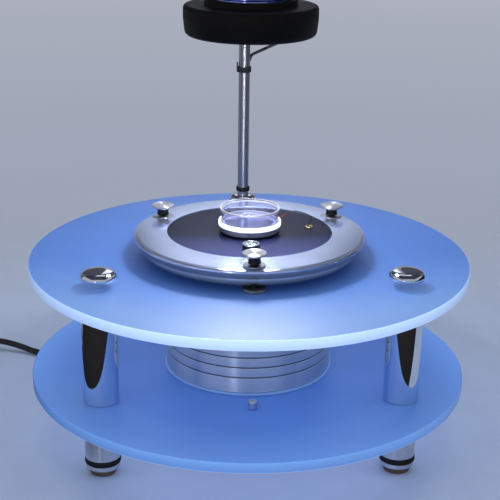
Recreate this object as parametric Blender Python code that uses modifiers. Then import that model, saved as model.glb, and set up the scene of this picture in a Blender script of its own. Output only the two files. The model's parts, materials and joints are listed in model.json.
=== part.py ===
"""A levelled orbital shaker for one small dish, with an overhead head on a post.

Metres, +Z up, the table at z = 0 and the motor's axis on the Z axis. The post stands at
the back (+Y), and the front of the object looks along -Y.
"""
import math

import bmesh
import bpy
from mathutils import Matrix, Vector

# clearances
SEAT_GAP = 0.0003          # between two faces that rest on each other
SLIP_FIT = 0.0004          # round a stud, a post or a sleeve in its hole
RUN_FIT = 0.0005           # round a shaft that turns

# plates
PLATE_RADIUS = 0.220
PLATE_THICKNESS = 0.010
PLATE_EDGE = 0.0006
PLATE_SPACING = 0.1063     # clear height between the two plates
FOOT_HEIGHT = 0.0670       # table to the lower plate's underside
PLATE_SEGMENTS = 56

# legs and feet
LEG_INSET = 0.0492         # leg's axis in from the plate's edge
LEG_CIRCLE = PLATE_RADIUS - LEG_INSET
LEG_SPREAD = 58.0          # degrees from the front to each front leg
LEG_RADIUS = 0.01735
STUD_RADIUS = 0.0050
STUD_LENGTH = 0.022        # stud past the plate, inside the column
LEG_SEGMENTS = 16
CAP_HEIGHT = 0.0175
CAP_UNDERSIDE = 0.0062
CAP_EDGE_HEIGHT = 0.0105
CAP_NECK_RADIUS = 0.0067
SOCKET_RADIUS = 0.0148     # rear cap, which holds the post
SOCKET_HEIGHT = 0.0145
SOCKET_UNDERSIDE = 0.0052
SOCKET_EDGE_HEIGHT = 0.0088
FOOT_RING_RADIUS = 0.0168
FOOT_PAD_RADIUS = 0.0128
FOOT_PAD_HEIGHT = 0.0062
FOOT_RING_HEIGHT = 0.0052
FOOT_BAND_HEIGHT = 0.0062
FOOT_BAND_DEPTH = 0.0026   # groove that holds the rubber band
FOOT_BAND_PROUD = 0.0003

# drum
DRUM_RADIUS = 0.0838
DRUM_HEIGHT = 0.0880
DRUM_WALL = 0.0060
DRUM_EDGE = 0.0012
DRUM_SEGMENTS = 32
GROOVE_COUNT = 6
GROOVE_FIRST = 0.0158      # lowest groove above the drum's bottom edge
GROOVE_PITCH = 0.0105
GROOVE_WIDTH = 0.0018
GROOVE_DEPTH = 0.0010
BASE_RING_LIP = 0.0018
BASE_RING_HEIGHT = 0.0022
BASE_RING_WIDTH = 0.0090
PEG_CIRCLE = 0.1118
PEG_ANGLES = {"front": -90.0, "right": 30.0, "left": 150.0}
PEG_RADIUS = 0.0045
PEG_HEIGHT = 0.0080
PEG_SHANK_RADIUS = 0.0025
PEG_SHANK_LENGTH = 0.0080

# motor and its shaft
MOTOR_RADIUS = 0.030
MOTOR_HEIGHT = 0.042
MOTOR_BORE_DEPTH = 0.014
MOTOR_DROP = 0.0145        # drum lid's underside to the motor's top, room for the flywheel
MOTOR_STAND_RADIUS = 0.024
SHAFT_RADIUS = 0.0050
FLYWHEEL_RADIUS = 0.030
FLYWHEEL_HEIGHT = 0.0080
FORK_RADIUS = 0.0090
FORK_RISE = 0.0040         # fork's top above the upper plate
FORK_LENGTH = 0.0185
FORK_SLOT_WIDTH = 0.0055
FORK_SLOT_DEPTH = 0.0100
SHAFT_HOLE_RADIUS = 0.0125
CORE_SEGMENTS = 20

# stage, heights above the upper plate's top
STAGE_RADIUS = 0.1157
STAGE_RIM_RADIUS = 0.1115  # where the top's slope turns into the rounded edge
STAGE_INNER_TOP = 0.0260
STAGE_OUTER_TOP = 0.0247
STAGE_EDGE_HEIGHT = 0.0222
STAGE_WALL_BOTTOM = 0.0143
STAGE_WALL_BOTTOM_RADIUS = 0.1106
STAGE_GROOVE_DEPTH = 0.0018
STAGE_GROOVE_HEIGHT = 0.0012
STAGE_UNDERSIDE = 0.0052
STAGE_BOWL_RADIUS = 0.1000
STAGE_SEGMENTS = 48
WELL_RADIUS = 0.0819
WELL_TOP = 0.0250
WELL_THICKNESS = 0.0030
STAGE_TRAVEL = 0.00125     # up and down from the drawn height, one screw turn each way

# levelling screws, heights above the upper plate's top
LEVEL_CIRCLE = 0.1011
LEVEL_ANGLES = {"front": -90.0, "right": 30.0, "left": 150.0}
LEVEL_SHAFT_RADIUS = 0.0035
LEVEL_KNOB_RADIUS = 0.0117
LEVEL_KNOB_TOP = 0.0376
LEVEL_KNOB_EDGE = 0.0020
LEVEL_KNOB_DISH = 0.0011
LEVEL_NECK_RADIUS = 0.0064
LEVEL_WAIST_RADIUS = 0.0056
LEVEL_BUSH_RADIUS = 0.0060
LEVEL_FLANGE_RADIUS = 0.0104
LEVEL_FLANGE_HEIGHT = 0.0008
LEVEL_SEAT_HEIGHT = 0.0247     # spot face in the rim
LEVEL_FOOT_RADIUS = 0.0117
LEVEL_FOOT_TOP = 0.0034
LEVEL_FOOT_EDGE = 0.0008
LEVEL_FOOT_FLOOR = 0.0013
LEVEL_SEGMENTS = 16

# spirit level and ferrule on the well disc
SPIRIT_POSITION = (-0.0015, -0.0630)
SPIRIT_RADIUS = 0.0084
SPIRIT_HEIGHT = 0.0085
SPIRIT_RIM = 0.0018
SPIRIT_RECESS = 0.0040
VIAL_CROWN = 0.0008
FERRULE_POSITION = (0.0606, 0.0104)
FERRULE_RADIUS = 0.0040
FERRULE_BORE = 0.0027
FERRULE_RISE = 0.0022
FERRULE_SLEEVE = 0.0034
SMALL_SEGMENTS = 12

# crank, carrier and dish
ORBIT_RADIUS = 0.0015      # offset of the dish's axis from the motor's
JOURNAL_RADIUS = 0.0070
TONGUE_WIDTH = 0.0046
TONGUE_DROP = 0.0030       # tongue's end below the upper plate's top
TONGUE_SHOULDER = 0.0060
CRANK_DISC_RADIUS = 0.0095
CRANK_PIN_RADIUS = 0.0040
CRANK_PIN_LENGTH = 0.0026
BEARING_RADIUS = 0.0130
BEARING_LOW = 0.0080        # lower end above the upper plate, clear of the fork
BEARING_FLANGE_RADIUS = 0.0210
GUIDE_CIRCLE = 0.0160
GUIDE_ANGLES = (90.0, 210.0, 330.0)
GUIDE_PIN_RADIUS = 0.0015
GUIDE_PIN_HEIGHT = 0.0040
GUIDE_HOLE_DEPTH = 0.0030
CARRIER_RADIUS = 0.0295
CARRIER_LIFT = 0.0016      # gap between the well disc and the carrier
CARRIER_HEIGHT = 0.0039
CARRIER_EDGE = 0.0008
LIGHT_RING_INNER = 0.0289
LIGHT_RING_OUTER = 0.0312
LIGHT_RING_HEIGHT = 0.0060
LIGHT_RING_BORE = 0.0245
LIGHT_RING_SHELF = 0.0030  # height of the step that the dish stands on
DISH_RADIUS = 0.0282
DISH_RIM_RADIUS = 0.0299
DISH_WALL = 0.0012
DISH_HEIGHT = 0.0158
DISH_RIM_HEIGHT = 0.0022
DISH_SEGMENTS = 28

# lamp wire, from the light ring to the ferrule
WIRE_RADIUS = 0.0005
WIRE_EXIT_ANGLE = 20.0
WIRE_EXIT_LENGTH = 0.0025
WIRE_CROWN = 0.0422        # highest point above the upper plate's top
WIRE_END_DEPTH = 0.0010    # wire's end below the well disc's top
WIRE_STEP = 0.0028

# post, cable and bands, heights above the upper plate's top
POST_RADIUS = 0.0061
POST_TOP = 0.2680
POST_SEAT = 0.0040
POST_SEGMENTS = 16
CABLE_RADIUS = 0.0017
CABLE_STANDOFF = 0.0003
CABLE_SOCKET_DEPTH = 0.0045    # how far the cable goes into the rear cap
CABLE_STEP = 0.0085
CABLE_TURN = (0.0056, 0.0074, 0.1645)      # x and y from the post's axis, and height
CABLE_LEAVE = (0.0105, 0.0035, 0.1722)     # where the free stretch starts
CABLE_HEADING = (0.76, -0.42, 0.50)
CABLE_FREE_POINTS = ((0.0250, -0.0085, 0.1816), (0.0345, -0.0500, 0.1950))
BAND_LOW = (0.0180, 0.0225)
BAND_HIGH = (0.1530, 0.1590)
BAND_THICKNESS = 0.0011
BAND_TAIL = (0.0016, 0.0030, 0.0045)
BAND_ARC_POINTS = 8

# head, heights above the upper plate's top
HEAD_X = -0.0018               # the head hangs a little left of the motor's axis
HEAD_RADIUS = 0.0643
HEAD_BOTTOM_RADIUS = 0.0626
HEAD_TOP = 0.2500
HEAD_BOTTOM = 0.2213
HEAD_TOP_ROUND = 0.0035
HEAD_BOTTOM_ROUND = 0.0040
HEAD_COLLAR_RADIUS = 0.0442
HEAD_COLLAR_HEIGHT = 0.0062
HEAD_COLLAR_ROUND = 0.0015
HEAD_SEAT_DEPTH = 0.0045
HEAD_SEGMENTS = 36
BARREL_RADIUS = 0.0392
BARREL_HEIGHT = 0.0430
BARREL_ROUND = 0.0080
BARREL_FOOT = 0.0040
BARREL_GROOVE = 0.0008
WINDOW_RADIUS = 0.0500
WINDOW_THICKNESS = 0.0030
WINDOW_RECESS = 0.0050
BRACKET_BOTTOM = 0.2330
BRACKET_HEIGHT = 0.0120
BRACKET_WIDTH = 0.0200
BRACKET_EYE_RADIUS = 0.0125
BRACKET_BOSS_RADIUS = 0.0055
BRACKET_BOSS_LENGTH = 0.0180   # from the post's axis
CLAMP_SHAFT_RADIUS = 0.0025
CLAMP_KNOB_RADIUS = 0.0090
CLAMP_KNOB_LENGTH = 0.0120
CLAMP_KNOB_ROUND = 0.0015
HEAD_CABLE_ANGLE = 50.0        # where the cable meets the head's underside
HEAD_CABLE_CIRCLE = 0.0555

# cover under the lower plate, and the cord
COVER_RADIUS = 0.0600
COVER_HEIGHT = 0.0260
COVER_WALL = 0.0030
COVER_HOLE_RADIUS = 0.0300     # through the lower plate, for the motor's wires
GLAND_ANGLE = 141.0            # the cord leaves to the back and left
GLAND_DROP = 0.0130            # gland's axis below the lower plate
GLAND_SLEEVE_RADIUS = 0.0060
GLAND_FLANGE_RADIUS = 0.0085
GLAND_FLANGE_LENGTH = 0.0050
GLAND_LENGTH = 0.0340
GLAND_TIP_RADIUS = 0.0045
CORD_RADIUS = 0.0035
CORD_STEP = 0.0165
CORD_REST = CORD_RADIUS + SEAT_GAP
CORD_POINTS = (                # x, y and height over its rest height on the table
    (-0.1000, 0.0810, 0.0400),
    (-0.1180, 0.0955, 0.0240),
    (-0.1370, 0.1110, 0.0090),
    (-0.1570, 0.1270, 0.0015),
    (-0.1780, 0.1440, 0.0000),
    (-0.2080, 0.1680, 0.0000),
    (-0.2360, 0.1872, 0.0003),
    (-0.2500, 0.1945, 0.0015),
    (-0.2630, 0.2000, 0.0044),
    (-0.2830, 0.2058, 0.0078),
    (-0.3000, 0.2083, 0.0087),
)
COIL_CENTRE = (-0.3420, 0.1610)
COIL_OUTER = 0.0475            # radius where the top layer starts
COIL_PITCH = 0.0076
COIL_TOP_TURNS = 1.75
COIL_LOW_TURNS = 2.0
COIL_DROP_TURNS = 0.5
COIL_POINTS_PER_TURN = 24
COIL_LIFT = 0.0012             # room for the tie under the coil
COIL_START_ANGLE = 90.0
COIL_LEAD = 0.0080             # straight ends
COIL_TAIL = 0.0400
COIL_TAIL_RISE = 0.0035
TIE_ANGLE = -40.0
TIE_THICKNESS = 0.0009
TIE_WIDTH = 0.0100
TIE_ROUND = 0.0060
PLUG_LENGTH = 0.0340
PLUG_WIDTH = 0.0260
PLUG_THICKNESS = 0.0170
PLUG_ROUND = 0.0035
PLUG_RELIEF_LENGTH = 0.0220
PLUG_RELIEF_RADIUS = 0.0066
PLUG_RELIEF_TIP = 0.0045
PLUG_PIN_RADIUS = 0.0020
PLUG_PIN_LENGTH = 0.0190
PLUG_PIN_SPACING = 0.0190

# heights that follow from the sizes above
LOWER_UNDER = FOOT_HEIGHT
LOWER_TOP = LOWER_UNDER + PLATE_THICKNESS
UPPER_UNDER = LOWER_TOP + PLATE_SPACING
UPPER_TOP = UPPER_UNDER + PLATE_THICKNESS
DRUM_BOTTOM = LOWER_TOP + SEAT_GAP + BASE_RING_HEIGHT + SEAT_GAP
DRUM_TOP = DRUM_BOTTOM + DRUM_HEIGHT
DRUM_LID_UNDER = DRUM_TOP - DRUM_WALL
MOTOR_TOP = DRUM_LID_UNDER - MOTOR_DROP
WELL_Z = UPPER_TOP + WELL_TOP
STAGE_FLOOR = WELL_Z - WELL_THICKNESS - SEAT_GAP
CARRIER_Z = WELL_Z + CARRIER_LIFT
CARRIER_TOP = CARRIER_Z + CARRIER_HEIGHT
LIGHT_RING_LOW = CARRIER_TOP + SEAT_GAP
DISH_LOW = LIGHT_RING_LOW + LIGHT_RING_SHELF + SEAT_GAP
BUSH_TOP = LEVEL_SEAT_HEIGHT + SEAT_GAP + LEVEL_FLANGE_HEIGHT
POST_Y = LEG_CIRCLE
COIL_LOW_Z = CORD_REST + COIL_LIFT
COIL_TOP_Z = COIL_LOW_Z + COIL_PITCH
COIL_INNER = COIL_OUTER - (COIL_TOP_TURNS + COIL_DROP_TURNS / 2) * COIL_PITCH
COIL_SPREAD = (COIL_LOW_TURNS + COIL_DROP_TURNS / 2) * COIL_PITCH
PLUG_Z = PLUG_THICKNESS / 2 + SEAT_GAP

SHARP_ANGLE = math.radians(32.0)
LEG_POSITIONS = {
    "left": (-LEG_CIRCLE * math.sin(math.radians(LEG_SPREAD)),
             -LEG_CIRCLE * math.cos(math.radians(LEG_SPREAD))),
    "right": (LEG_CIRCLE * math.sin(math.radians(LEG_SPREAD)),
              -LEG_CIRCLE * math.cos(math.radians(LEG_SPREAD))),
    "rear": (0.0, LEG_CIRCLE),
}

for old in list(bpy.data.objects):
    bpy.data.objects.remove(old, do_unlink=True)

PARTS = bpy.data.collections.new("orbital_shaker")
CUTTERS = bpy.data.collections.new("cutters")
bpy.context.scene.collection.children.link(PARTS)
bpy.context.scene.collection.children.link(CUTTERS)


def material(name, colour, roughness, metallic, transmission=0.0):
    mat = bpy.data.materials.new(name)
    mat.use_nodes = True
    shader = mat.node_tree.nodes["Principled BSDF"]
    shader.inputs["Base Color"].default_value = (*colour, 1.0)
    shader.inputs["Roughness"].default_value = roughness
    shader.inputs["Metallic"].default_value = metallic
    shader.inputs["Transmission Weight"].default_value = transmission
    mat.diffuse_color = (*colour, 1.0)
    return mat


ACRYLIC = material("blue_acrylic", (0.13, 0.24, 0.66), 0.35, 0.0)
CHROME = material("chrome", (0.62, 0.66, 0.72), 0.08, 1.0)
TURNED = material("turned_aluminium", (0.60, 0.64, 0.72), 0.18, 1.0)
BRUSHED = material("brushed_steel", (0.40, 0.44, 0.52), 0.35, 1.0)
RUBBER = material("black_rubber", (0.012, 0.012, 0.013), 0.70, 0.0)
PAD = material("brown_rubber", (0.060, 0.035, 0.025), 0.75, 0.0)
GLOW = material("pale_glow_ring", (0.70, 0.82, 0.98), 0.40, 0.0)
BLACK = material("black_anodised", (0.010, 0.011, 0.014), 0.40, 0.0)
DARK_METAL = material("dark_polished_metal", (0.09, 0.10, 0.13), 0.18, 1.0)
LAMP = material("lit_diffuser", (0.92, 0.95, 1.0), 0.40, 0.0)
CLEAR = material("clear_polystyrene", (0.82, 0.90, 0.98), 0.05, 0.0, 0.9)
BRASS = material("brass", (0.70, 0.50, 0.22), 0.25, 1.0)
CABLE = material("black_cable", (0.015, 0.015, 0.017), 0.50, 0.0)
CORD = material("black_cord", (0.014, 0.014, 0.016), 0.55, 0.0)
PINS = material("bright_plug", (0.018, 0.018, 0.020), 0.40, 0.0)
MOTOR = material("motor_steel", (0.30, 0.31, 0.33), 0.40, 1.0)
VIAL = material("level_vial", (0.55, 0.72, 0.88), 0.08, 0.0, 0.4)


def polar(radius, degrees):
    angle = math.radians(degrees)
    return (radius * math.cos(angle), radius * math.sin(angle))


def pivot(name, location):
    empty = bpy.data.objects.new(name, None)
    empty.empty_display_size = 0.02
    empty.location = location
    PARTS.objects.link(empty)
    return empty


def hang(obj, parent):
    """Parent to a pivot without moving in the world."""
    obj.parent = parent
    obj.matrix_parent_inverse = Matrix.Translation(parent.location).inverted()
    return obj


def add_object(name, data, location=(0.0, 0.0, 0.0), collection=None):
    obj = bpy.data.objects.new(name, data)
    obj.location = location
    (collection or PARTS).objects.link(obj)
    if collection is CUTTERS:
        obj.hide_render = True
        obj.display_type = "WIRE"
    return obj


def turned(name, profile, location, segments, mat=None, collection=None):
    """A lathe-turned body. A profile that leaves the axis ends on it, another is a loop."""
    mesh = bpy.data.meshes.new(name)
    count = len(profile)
    edges = [(i, i + 1) for i in range(count - 1)]
    if profile[0][0] > 0.0:
        edges.append((count - 1, 0))
    mesh.from_pydata([(r, 0.0, z) for r, z in profile], edges, [])
    obj = add_object(name, mesh, location, collection)
    screw = obj.modifiers.new("lathe", "SCREW")
    screw.axis = "Z"
    screw.steps = segments
    screw.render_steps = segments
    screw.use_merge_vertices = True
    screw.merge_threshold = 0.00001
    screw.use_smooth_shade = True
    if mat is not None:
        mesh.materials.append(mat)
    return obj


def cylinder(name, radius, low, high, location, segments=SMALL_SEGMENTS):
    """A plain round tool between two heights, for cutting or joining."""
    mesh = bpy.data.meshes.new(name)
    bm = bmesh.new()
    middle = Matrix.Translation((0.0, 0.0, (low + high) / 2))
    bmesh.ops.create_cone(bm, cap_ends=True, segments=segments, radius1=radius, radius2=radius,
                          depth=high - low, matrix=middle)
    bm.to_mesh(mesh)
    bm.free()
    return add_object(name, mesh, location, CUTTERS)


def block(name, size, centre, collection=CUTTERS):
    mesh = bpy.data.meshes.new(name)
    bm = bmesh.new()
    bmesh.ops.create_cube(bm, size=1.0)
    bmesh.ops.scale(bm, vec=size, verts=bm.verts)
    bm.to_mesh(mesh)
    bm.free()
    return add_object(name, mesh, centre, collection)


def combine(obj, tool, operation):
    mod = obj.modifiers.new(tool.name, "BOOLEAN")
    mod.operation = operation
    mod.solver = "EXACT"
    mod.object = tool
    return obj


def cut(obj, tool):
    return combine(obj, tool, "DIFFERENCE")


def join(obj, tool):
    return combine(obj, tool, "UNION")


def arc(radius, height, size, start, end, count):
    """Points on a quarter or other part of a circle in a profile."""
    points = []
    for i in range(count + 1):
        angle = math.radians(start + (end - start) * i / count)
        points.append((radius + size * math.cos(angle), height + size * math.sin(angle)))
    return points


def aim(obj, direction):
    """Turn a body that was drawn along Z to point along a direction."""
    obj.rotation_mode = "QUATERNION"
    obj.rotation_quaternion = Vector((0.0, 0.0, 1.0)).rotation_difference(direction)
    return obj


def smooth_route(points, step):
    """Points a step apart on a smooth curve through the route's own points.

    The first and the last stretch stay straight, so that the ends are square.
    """
    knots = [Vector(p) for p in points]
    dense = []
    for a, b, c, d in zip(knots, knots[1:], knots[2:], knots[3:]):
        for i in range(24):
            t = i / 24
            dense.append(0.5 * (2 * b + (c - a) * t + (2 * a - 5 * b + 4 * c - d) * t * t
                                + (3 * b - a - 3 * c + d) * t ** 3))
    dense.append(knots[-2].copy())
    lengths = [0.0]
    for p, q in zip(dense, dense[1:]):
        lengths.append(lengths[-1] + (q - p).length)
    count = max(2, round(lengths[-1] / step))
    route = [knots[0]]
    index = 0
    for i in range(count + 1):
        target = lengths[-1] * i / count
        while index < len(lengths) - 2 and lengths[index + 1] < target:
            index += 1
        span = lengths[index + 1] - lengths[index]
        route.append(dense[index].lerp(dense[index + 1], (target - lengths[index]) / span))
    return route + [knots[-1]]


def tube(name, route, radius, resolution, mat):
    """A closed round tube along a route."""
    curve = bpy.data.curves.new(name, "CURVE")
    curve.dimensions = "3D"
    curve.bevel_depth = radius
    curve.bevel_resolution = resolution
    curve.use_fill_caps = True
    spline = curve.splines.new("POLY")
    spline.points.add(len(route) - 1)
    for point, place in zip(spline.points, route):
        point.co = (*place, 1.0)
    return add_object(name, curve_mesh(curve, mat))


def curve_mesh(curve, mat):
    """A curve as a mesh with its caps welded on."""
    draft = bpy.data.objects.new(curve.name + "_curve", curve)
    bpy.context.scene.collection.objects.link(draft)
    graph = bpy.context.evaluated_depsgraph_get()
    mesh = bpy.data.meshes.new_from_object(draft.evaluated_get(graph))
    bpy.data.objects.remove(draft, do_unlink=True)
    bpy.data.curves.remove(curve)
    bm = bmesh.new()
    bm.from_mesh(mesh)
    bmesh.ops.remove_doubles(bm, verts=bm.verts, dist=0.000001)
    bmesh.ops.recalc_face_normals(bm, faces=bm.faces)
    bm.to_mesh(mesh)
    bm.free()
    mesh.materials.clear()
    mesh.materials.append(mat)
    return mesh


def band(name, inner, outer, width, mat, location):
    """A flat loop between two closed outlines, with its width along Z."""
    curve = bpy.data.curves.new(name, "CURVE")
    curve.dimensions = "2D"
    curve.fill_mode = "BOTH"
    curve.extrude = width / 2
    for outline in (outer, inner):
        spline = curve.splines.new("POLY")
        spline.use_cyclic_u = True
        spline.points.add(len(outline) - 1)
        for point, (x, y) in zip(spline.points, outline):
            point.co = (x, y, 0.0, 1.0)
    return add_object(name, curve_mesh(curve, mat), location)


BASE = pivot("base", (0.0, 0.0, 0.0))
ROTOR = pivot("rotor", (0.0, 0.0, MOTOR_TOP))
STAGE = pivot("stage", (0.0, 0.0, UPPER_TOP))
CRANK = pivot("crank", (0.0, 0.0, STAGE_FLOOR))
CARRIER = pivot("carrier", (0.0, ORBIT_RADIUS, CARRIER_Z))
HEAD = pivot("head", (0.0, POST_Y, UPPER_TOP + BRACKET_BOTTOM))


def plate(name, under, holes):
    top = under + PLATE_THICKNESS
    edge = PLATE_EDGE
    profile = [(0.0, top), (PLATE_RADIUS - edge, top), (PLATE_RADIUS, top - edge),
               (PLATE_RADIUS, under + edge), (PLATE_RADIUS - edge, under), (0.0, under)]
    body = hang(turned(name, profile, (0.0, 0.0, 0.0), PLATE_SEGMENTS, ACRYLIC), BASE)
    for label, (x, y), radius in holes:
        tool = cylinder(name + "_hole_" + label, radius, under - edge, top + edge, (x, y, 0.0))
        cut(body, tool)
    return body


def plates():
    studs = [("leg_" + side, place, STUD_RADIUS + SLIP_FIT)
             for side, place in LEG_POSITIONS.items()]
    pegs = [("peg_" + side, polar(PEG_CIRCLE, angle), PEG_SHANK_RADIUS + SLIP_FIT)
            for side, angle in PEG_ANGLES.items()]
    wires = [("wires", (0.0, 0.0), COVER_HOLE_RADIUS)]
    shaft = [("shaft", (0.0, 0.0), SHAFT_HOLE_RADIUS)]
    plate("lower_plate", LOWER_UNDER, studs + pegs + wires)
    plate("upper_plate", UPPER_UNDER, studs + shaft)


def leg_column(side):
    x, y = LEG_POSITIONS[side]
    low = LOWER_TOP + SEAT_GAP
    high = UPPER_UNDER - SEAT_GAP
    bore = STUD_RADIUS + SLIP_FIT
    profile = [(LEG_RADIUS, high), (LEG_RADIUS, low), (bore, low), (bore, high)]
    hang(turned("leg_column_" + side, profile, (x, y, 0.0), LEG_SEGMENTS, CHROME), BASE)


def cap_profile(radius, height, edge_height, underside):
    """A domed mushroom cap with a neck and a stud that goes through the plate."""
    base = UPPER_TOP + SEAT_GAP
    crown = UPPER_TOP + height
    edge = UPPER_TOP + edge_height
    under = UPPER_TOP + underside
    stud_end = UPPER_UNDER - STUD_LENGTH
    return [(0.0, crown),
            (radius * 0.42, crown - 0.04 * height),
            (radius * 0.72, crown - 0.12 * height),
            (radius * 0.92, crown - 0.25 * height),
            (radius, edge),
            (radius * 0.96, under + 0.3 * (edge - under)),
            (radius * 0.80, under),
            (CAP_NECK_RADIUS, under - 0.10 * underside),
            (CAP_NECK_RADIUS, base),
            (STUD_RADIUS, base),
            (STUD_RADIUS, stud_end),
            (0.0, stud_end)]


def leg_cap(side):
    x, y = LEG_POSITIONS[side]
    profile = cap_profile(LEG_RADIUS, CAP_HEIGHT, CAP_EDGE_HEIGHT, CAP_UNDERSIDE)
    hang(turned("leg_cap_" + side, profile, (x, y, 0.0), LEG_SEGMENTS, CHROME), BASE)


def post_socket():
    """The rear cap, bored for the post and for the cable behind it."""
    x, y = LEG_POSITIONS["rear"]
    profile = cap_profile(SOCKET_RADIUS, SOCKET_HEIGHT, SOCKET_EDGE_HEIGHT, SOCKET_UNDERSIDE)
    body = turned("post_socket", profile, (x, y, 0.0), LEG_SEGMENTS, CHROME)
    above = UPPER_TOP + SOCKET_HEIGHT * 1.2
    bore = cylinder("post_bore", POST_RADIUS + SLIP_FIT, UPPER_TOP + POST_SEAT, above, (x, y, 0.0),
                    POST_SEGMENTS)
    cut(body, bore)
    cable_low = cable_bottom() - SEAT_GAP
    cable_y = y + cable_behind()
    cut(body, cylinder("cable_bore", CABLE_RADIUS + SLIP_FIT, cable_low, above,
                       (x, cable_y, 0.0)))
    hang(body, BASE)


def foot(side):
    x, y = LEG_POSITIONS[side]
    ring_low = FOOT_PAD_HEIGHT
    band_low = ring_low + FOOT_RING_HEIGHT
    band_high = band_low + FOOT_BAND_HEIGHT
    top = LOWER_UNDER - SEAT_GAP
    stud_end = LOWER_TOP + STUD_LENGTH
    groove = LEG_RADIUS - FOOT_BAND_DEPTH
    chamfer = FOOT_RING_HEIGHT * 0.4
    body = [(0.0, stud_end), (STUD_RADIUS, stud_end), (STUD_RADIUS, top), (LEG_RADIUS, top),
            (LEG_RADIUS, band_high), (groove, band_high), (groove, band_low),
            (FOOT_RING_RADIUS, band_low), (FOOT_RING_RADIUS, ring_low + chamfer),
            (FOOT_RING_RADIUS - chamfer, ring_low), (0.0, ring_low)]
    hang(turned("foot_" + side, body, (x, y, 0.0), LEG_SEGMENTS, BRUSHED), BASE)
    inner = groove + SEAT_GAP
    outer = LEG_RADIUS + FOOT_BAND_PROUD
    low = band_low + SEAT_GAP
    high = band_high - SEAT_GAP
    ring = [(inner, high), (outer, high), (outer, low), (inner, low)]
    hang(turned("foot_band_" + side, ring, (x, y, 0.0), LEG_SEGMENTS, RUBBER), BASE)
    pad_top = FOOT_PAD_HEIGHT - SEAT_GAP
    pad_edge = FOOT_PAD_HEIGHT * 0.2
    pad = [(0.0, pad_top), (FOOT_PAD_RADIUS, pad_top), (FOOT_PAD_RADIUS, pad_edge),
           (FOOT_PAD_RADIUS - pad_edge, 0.0), (0.0, 0.0)]
    hang(turned("foot_pad_" + side, pad, (x, y, 0.0), LEG_SEGMENTS, PAD), BASE)


def drum():
    edge = DRUM_EDGE
    profile = [(SHAFT_HOLE_RADIUS, DRUM_TOP), (DRUM_RADIUS - edge, DRUM_TOP),
               (DRUM_RADIUS, DRUM_TOP - edge)]
    for i in reversed(range(GROOVE_COUNT)):
        middle = DRUM_BOTTOM + GROOVE_FIRST + i * GROOVE_PITCH
        profile += [(DRUM_RADIUS, middle + GROOVE_WIDTH / 2),
                    (DRUM_RADIUS - GROOVE_DEPTH, middle),
                    (DRUM_RADIUS, middle - GROOVE_WIDTH / 2)]
    inside = DRUM_RADIUS - DRUM_WALL
    profile += [(DRUM_RADIUS, DRUM_BOTTOM), (inside, DRUM_BOTTOM),
                (inside, DRUM_LID_UNDER), (SHAFT_HOLE_RADIUS, DRUM_LID_UNDER)]
    hang(turned("drum_shell", profile, (0.0, 0.0, 0.0), DRUM_SEGMENTS, TURNED), BASE)
    low = LOWER_TOP + SEAT_GAP
    high = low + BASE_RING_HEIGHT
    outer = DRUM_RADIUS + BASE_RING_LIP
    inner = outer - BASE_RING_WIDTH
    ring = [(inner, high), (outer, high), (outer, low), (inner, low)]
    hang(turned("drum_base_ring", ring, (0.0, 0.0, 0.0), DRUM_SEGMENTS, GLOW), BASE)


def drum_peg(side):
    x, y = polar(PEG_CIRCLE, PEG_ANGLES[side])
    low = LOWER_TOP + SEAT_GAP
    high = low + PEG_HEIGHT
    end = LOWER_TOP - PEG_SHANK_LENGTH
    edge = PEG_RADIUS * 0.2
    profile = [(0.0, high), (PEG_RADIUS - edge, high), (PEG_RADIUS, high - edge),
               (PEG_RADIUS, low), (PEG_SHANK_RADIUS, low), (PEG_SHANK_RADIUS, end), (0.0, end)]
    hang(turned("drum_peg_" + side, profile, (x, y, 0.0), SMALL_SEGMENTS, BRUSHED), BASE)


def motor():
    """The motor stands on a spigot on the cover below, with a blind bore for the shaft."""
    bore = SHAFT_RADIUS + RUN_FIT
    bore_end = MOTOR_TOP - MOTOR_BORE_DEPTH
    bottom = MOTOR_TOP - MOTOR_HEIGHT
    stand_end = LOWER_UNDER - COVER_HEIGHT + COVER_WALL + SEAT_GAP
    body = [(0.0, bore_end), (bore, bore_end), (bore, MOTOR_TOP), (MOTOR_RADIUS, MOTOR_TOP),
            (MOTOR_RADIUS, bottom), (MOTOR_STAND_RADIUS, bottom),
            (MOTOR_STAND_RADIUS, stand_end), (0.0, stand_end)]
    hang(turned("motor_body", body, (0.0, 0.0, 0.0), CORE_SEGMENTS, MOTOR), BASE)
    end = bore_end + SEAT_GAP
    wheel_low = MOTOR_TOP + (MOTOR_DROP - FLYWHEEL_HEIGHT) / 2
    wheel_high = wheel_low + FLYWHEEL_HEIGHT
    fork_top = UPPER_TOP + FORK_RISE
    fork_low = fork_top - FORK_LENGTH
    profile = [(0.0, fork_top), (FORK_RADIUS, fork_top), (FORK_RADIUS, fork_low),
               (SHAFT_RADIUS, fork_low), (SHAFT_RADIUS, wheel_high),
               (FLYWHEEL_RADIUS, wheel_high), (FLYWHEEL_RADIUS, wheel_low),
               (SHAFT_RADIUS, wheel_low), (SHAFT_RADIUS, end), (0.0, end)]
    shaft = turned("motor_shaft", profile, (0.0, 0.0, 0.0), CORE_SEGMENTS, MOTOR)
    slot = block("fork_slot", (FORK_RADIUS * 3, FORK_SLOT_WIDTH, FORK_SLOT_DEPTH * 2),
                 (0.0, 0.0, fork_top))
    hang(cut(shaft, slot), ROTOR)


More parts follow.
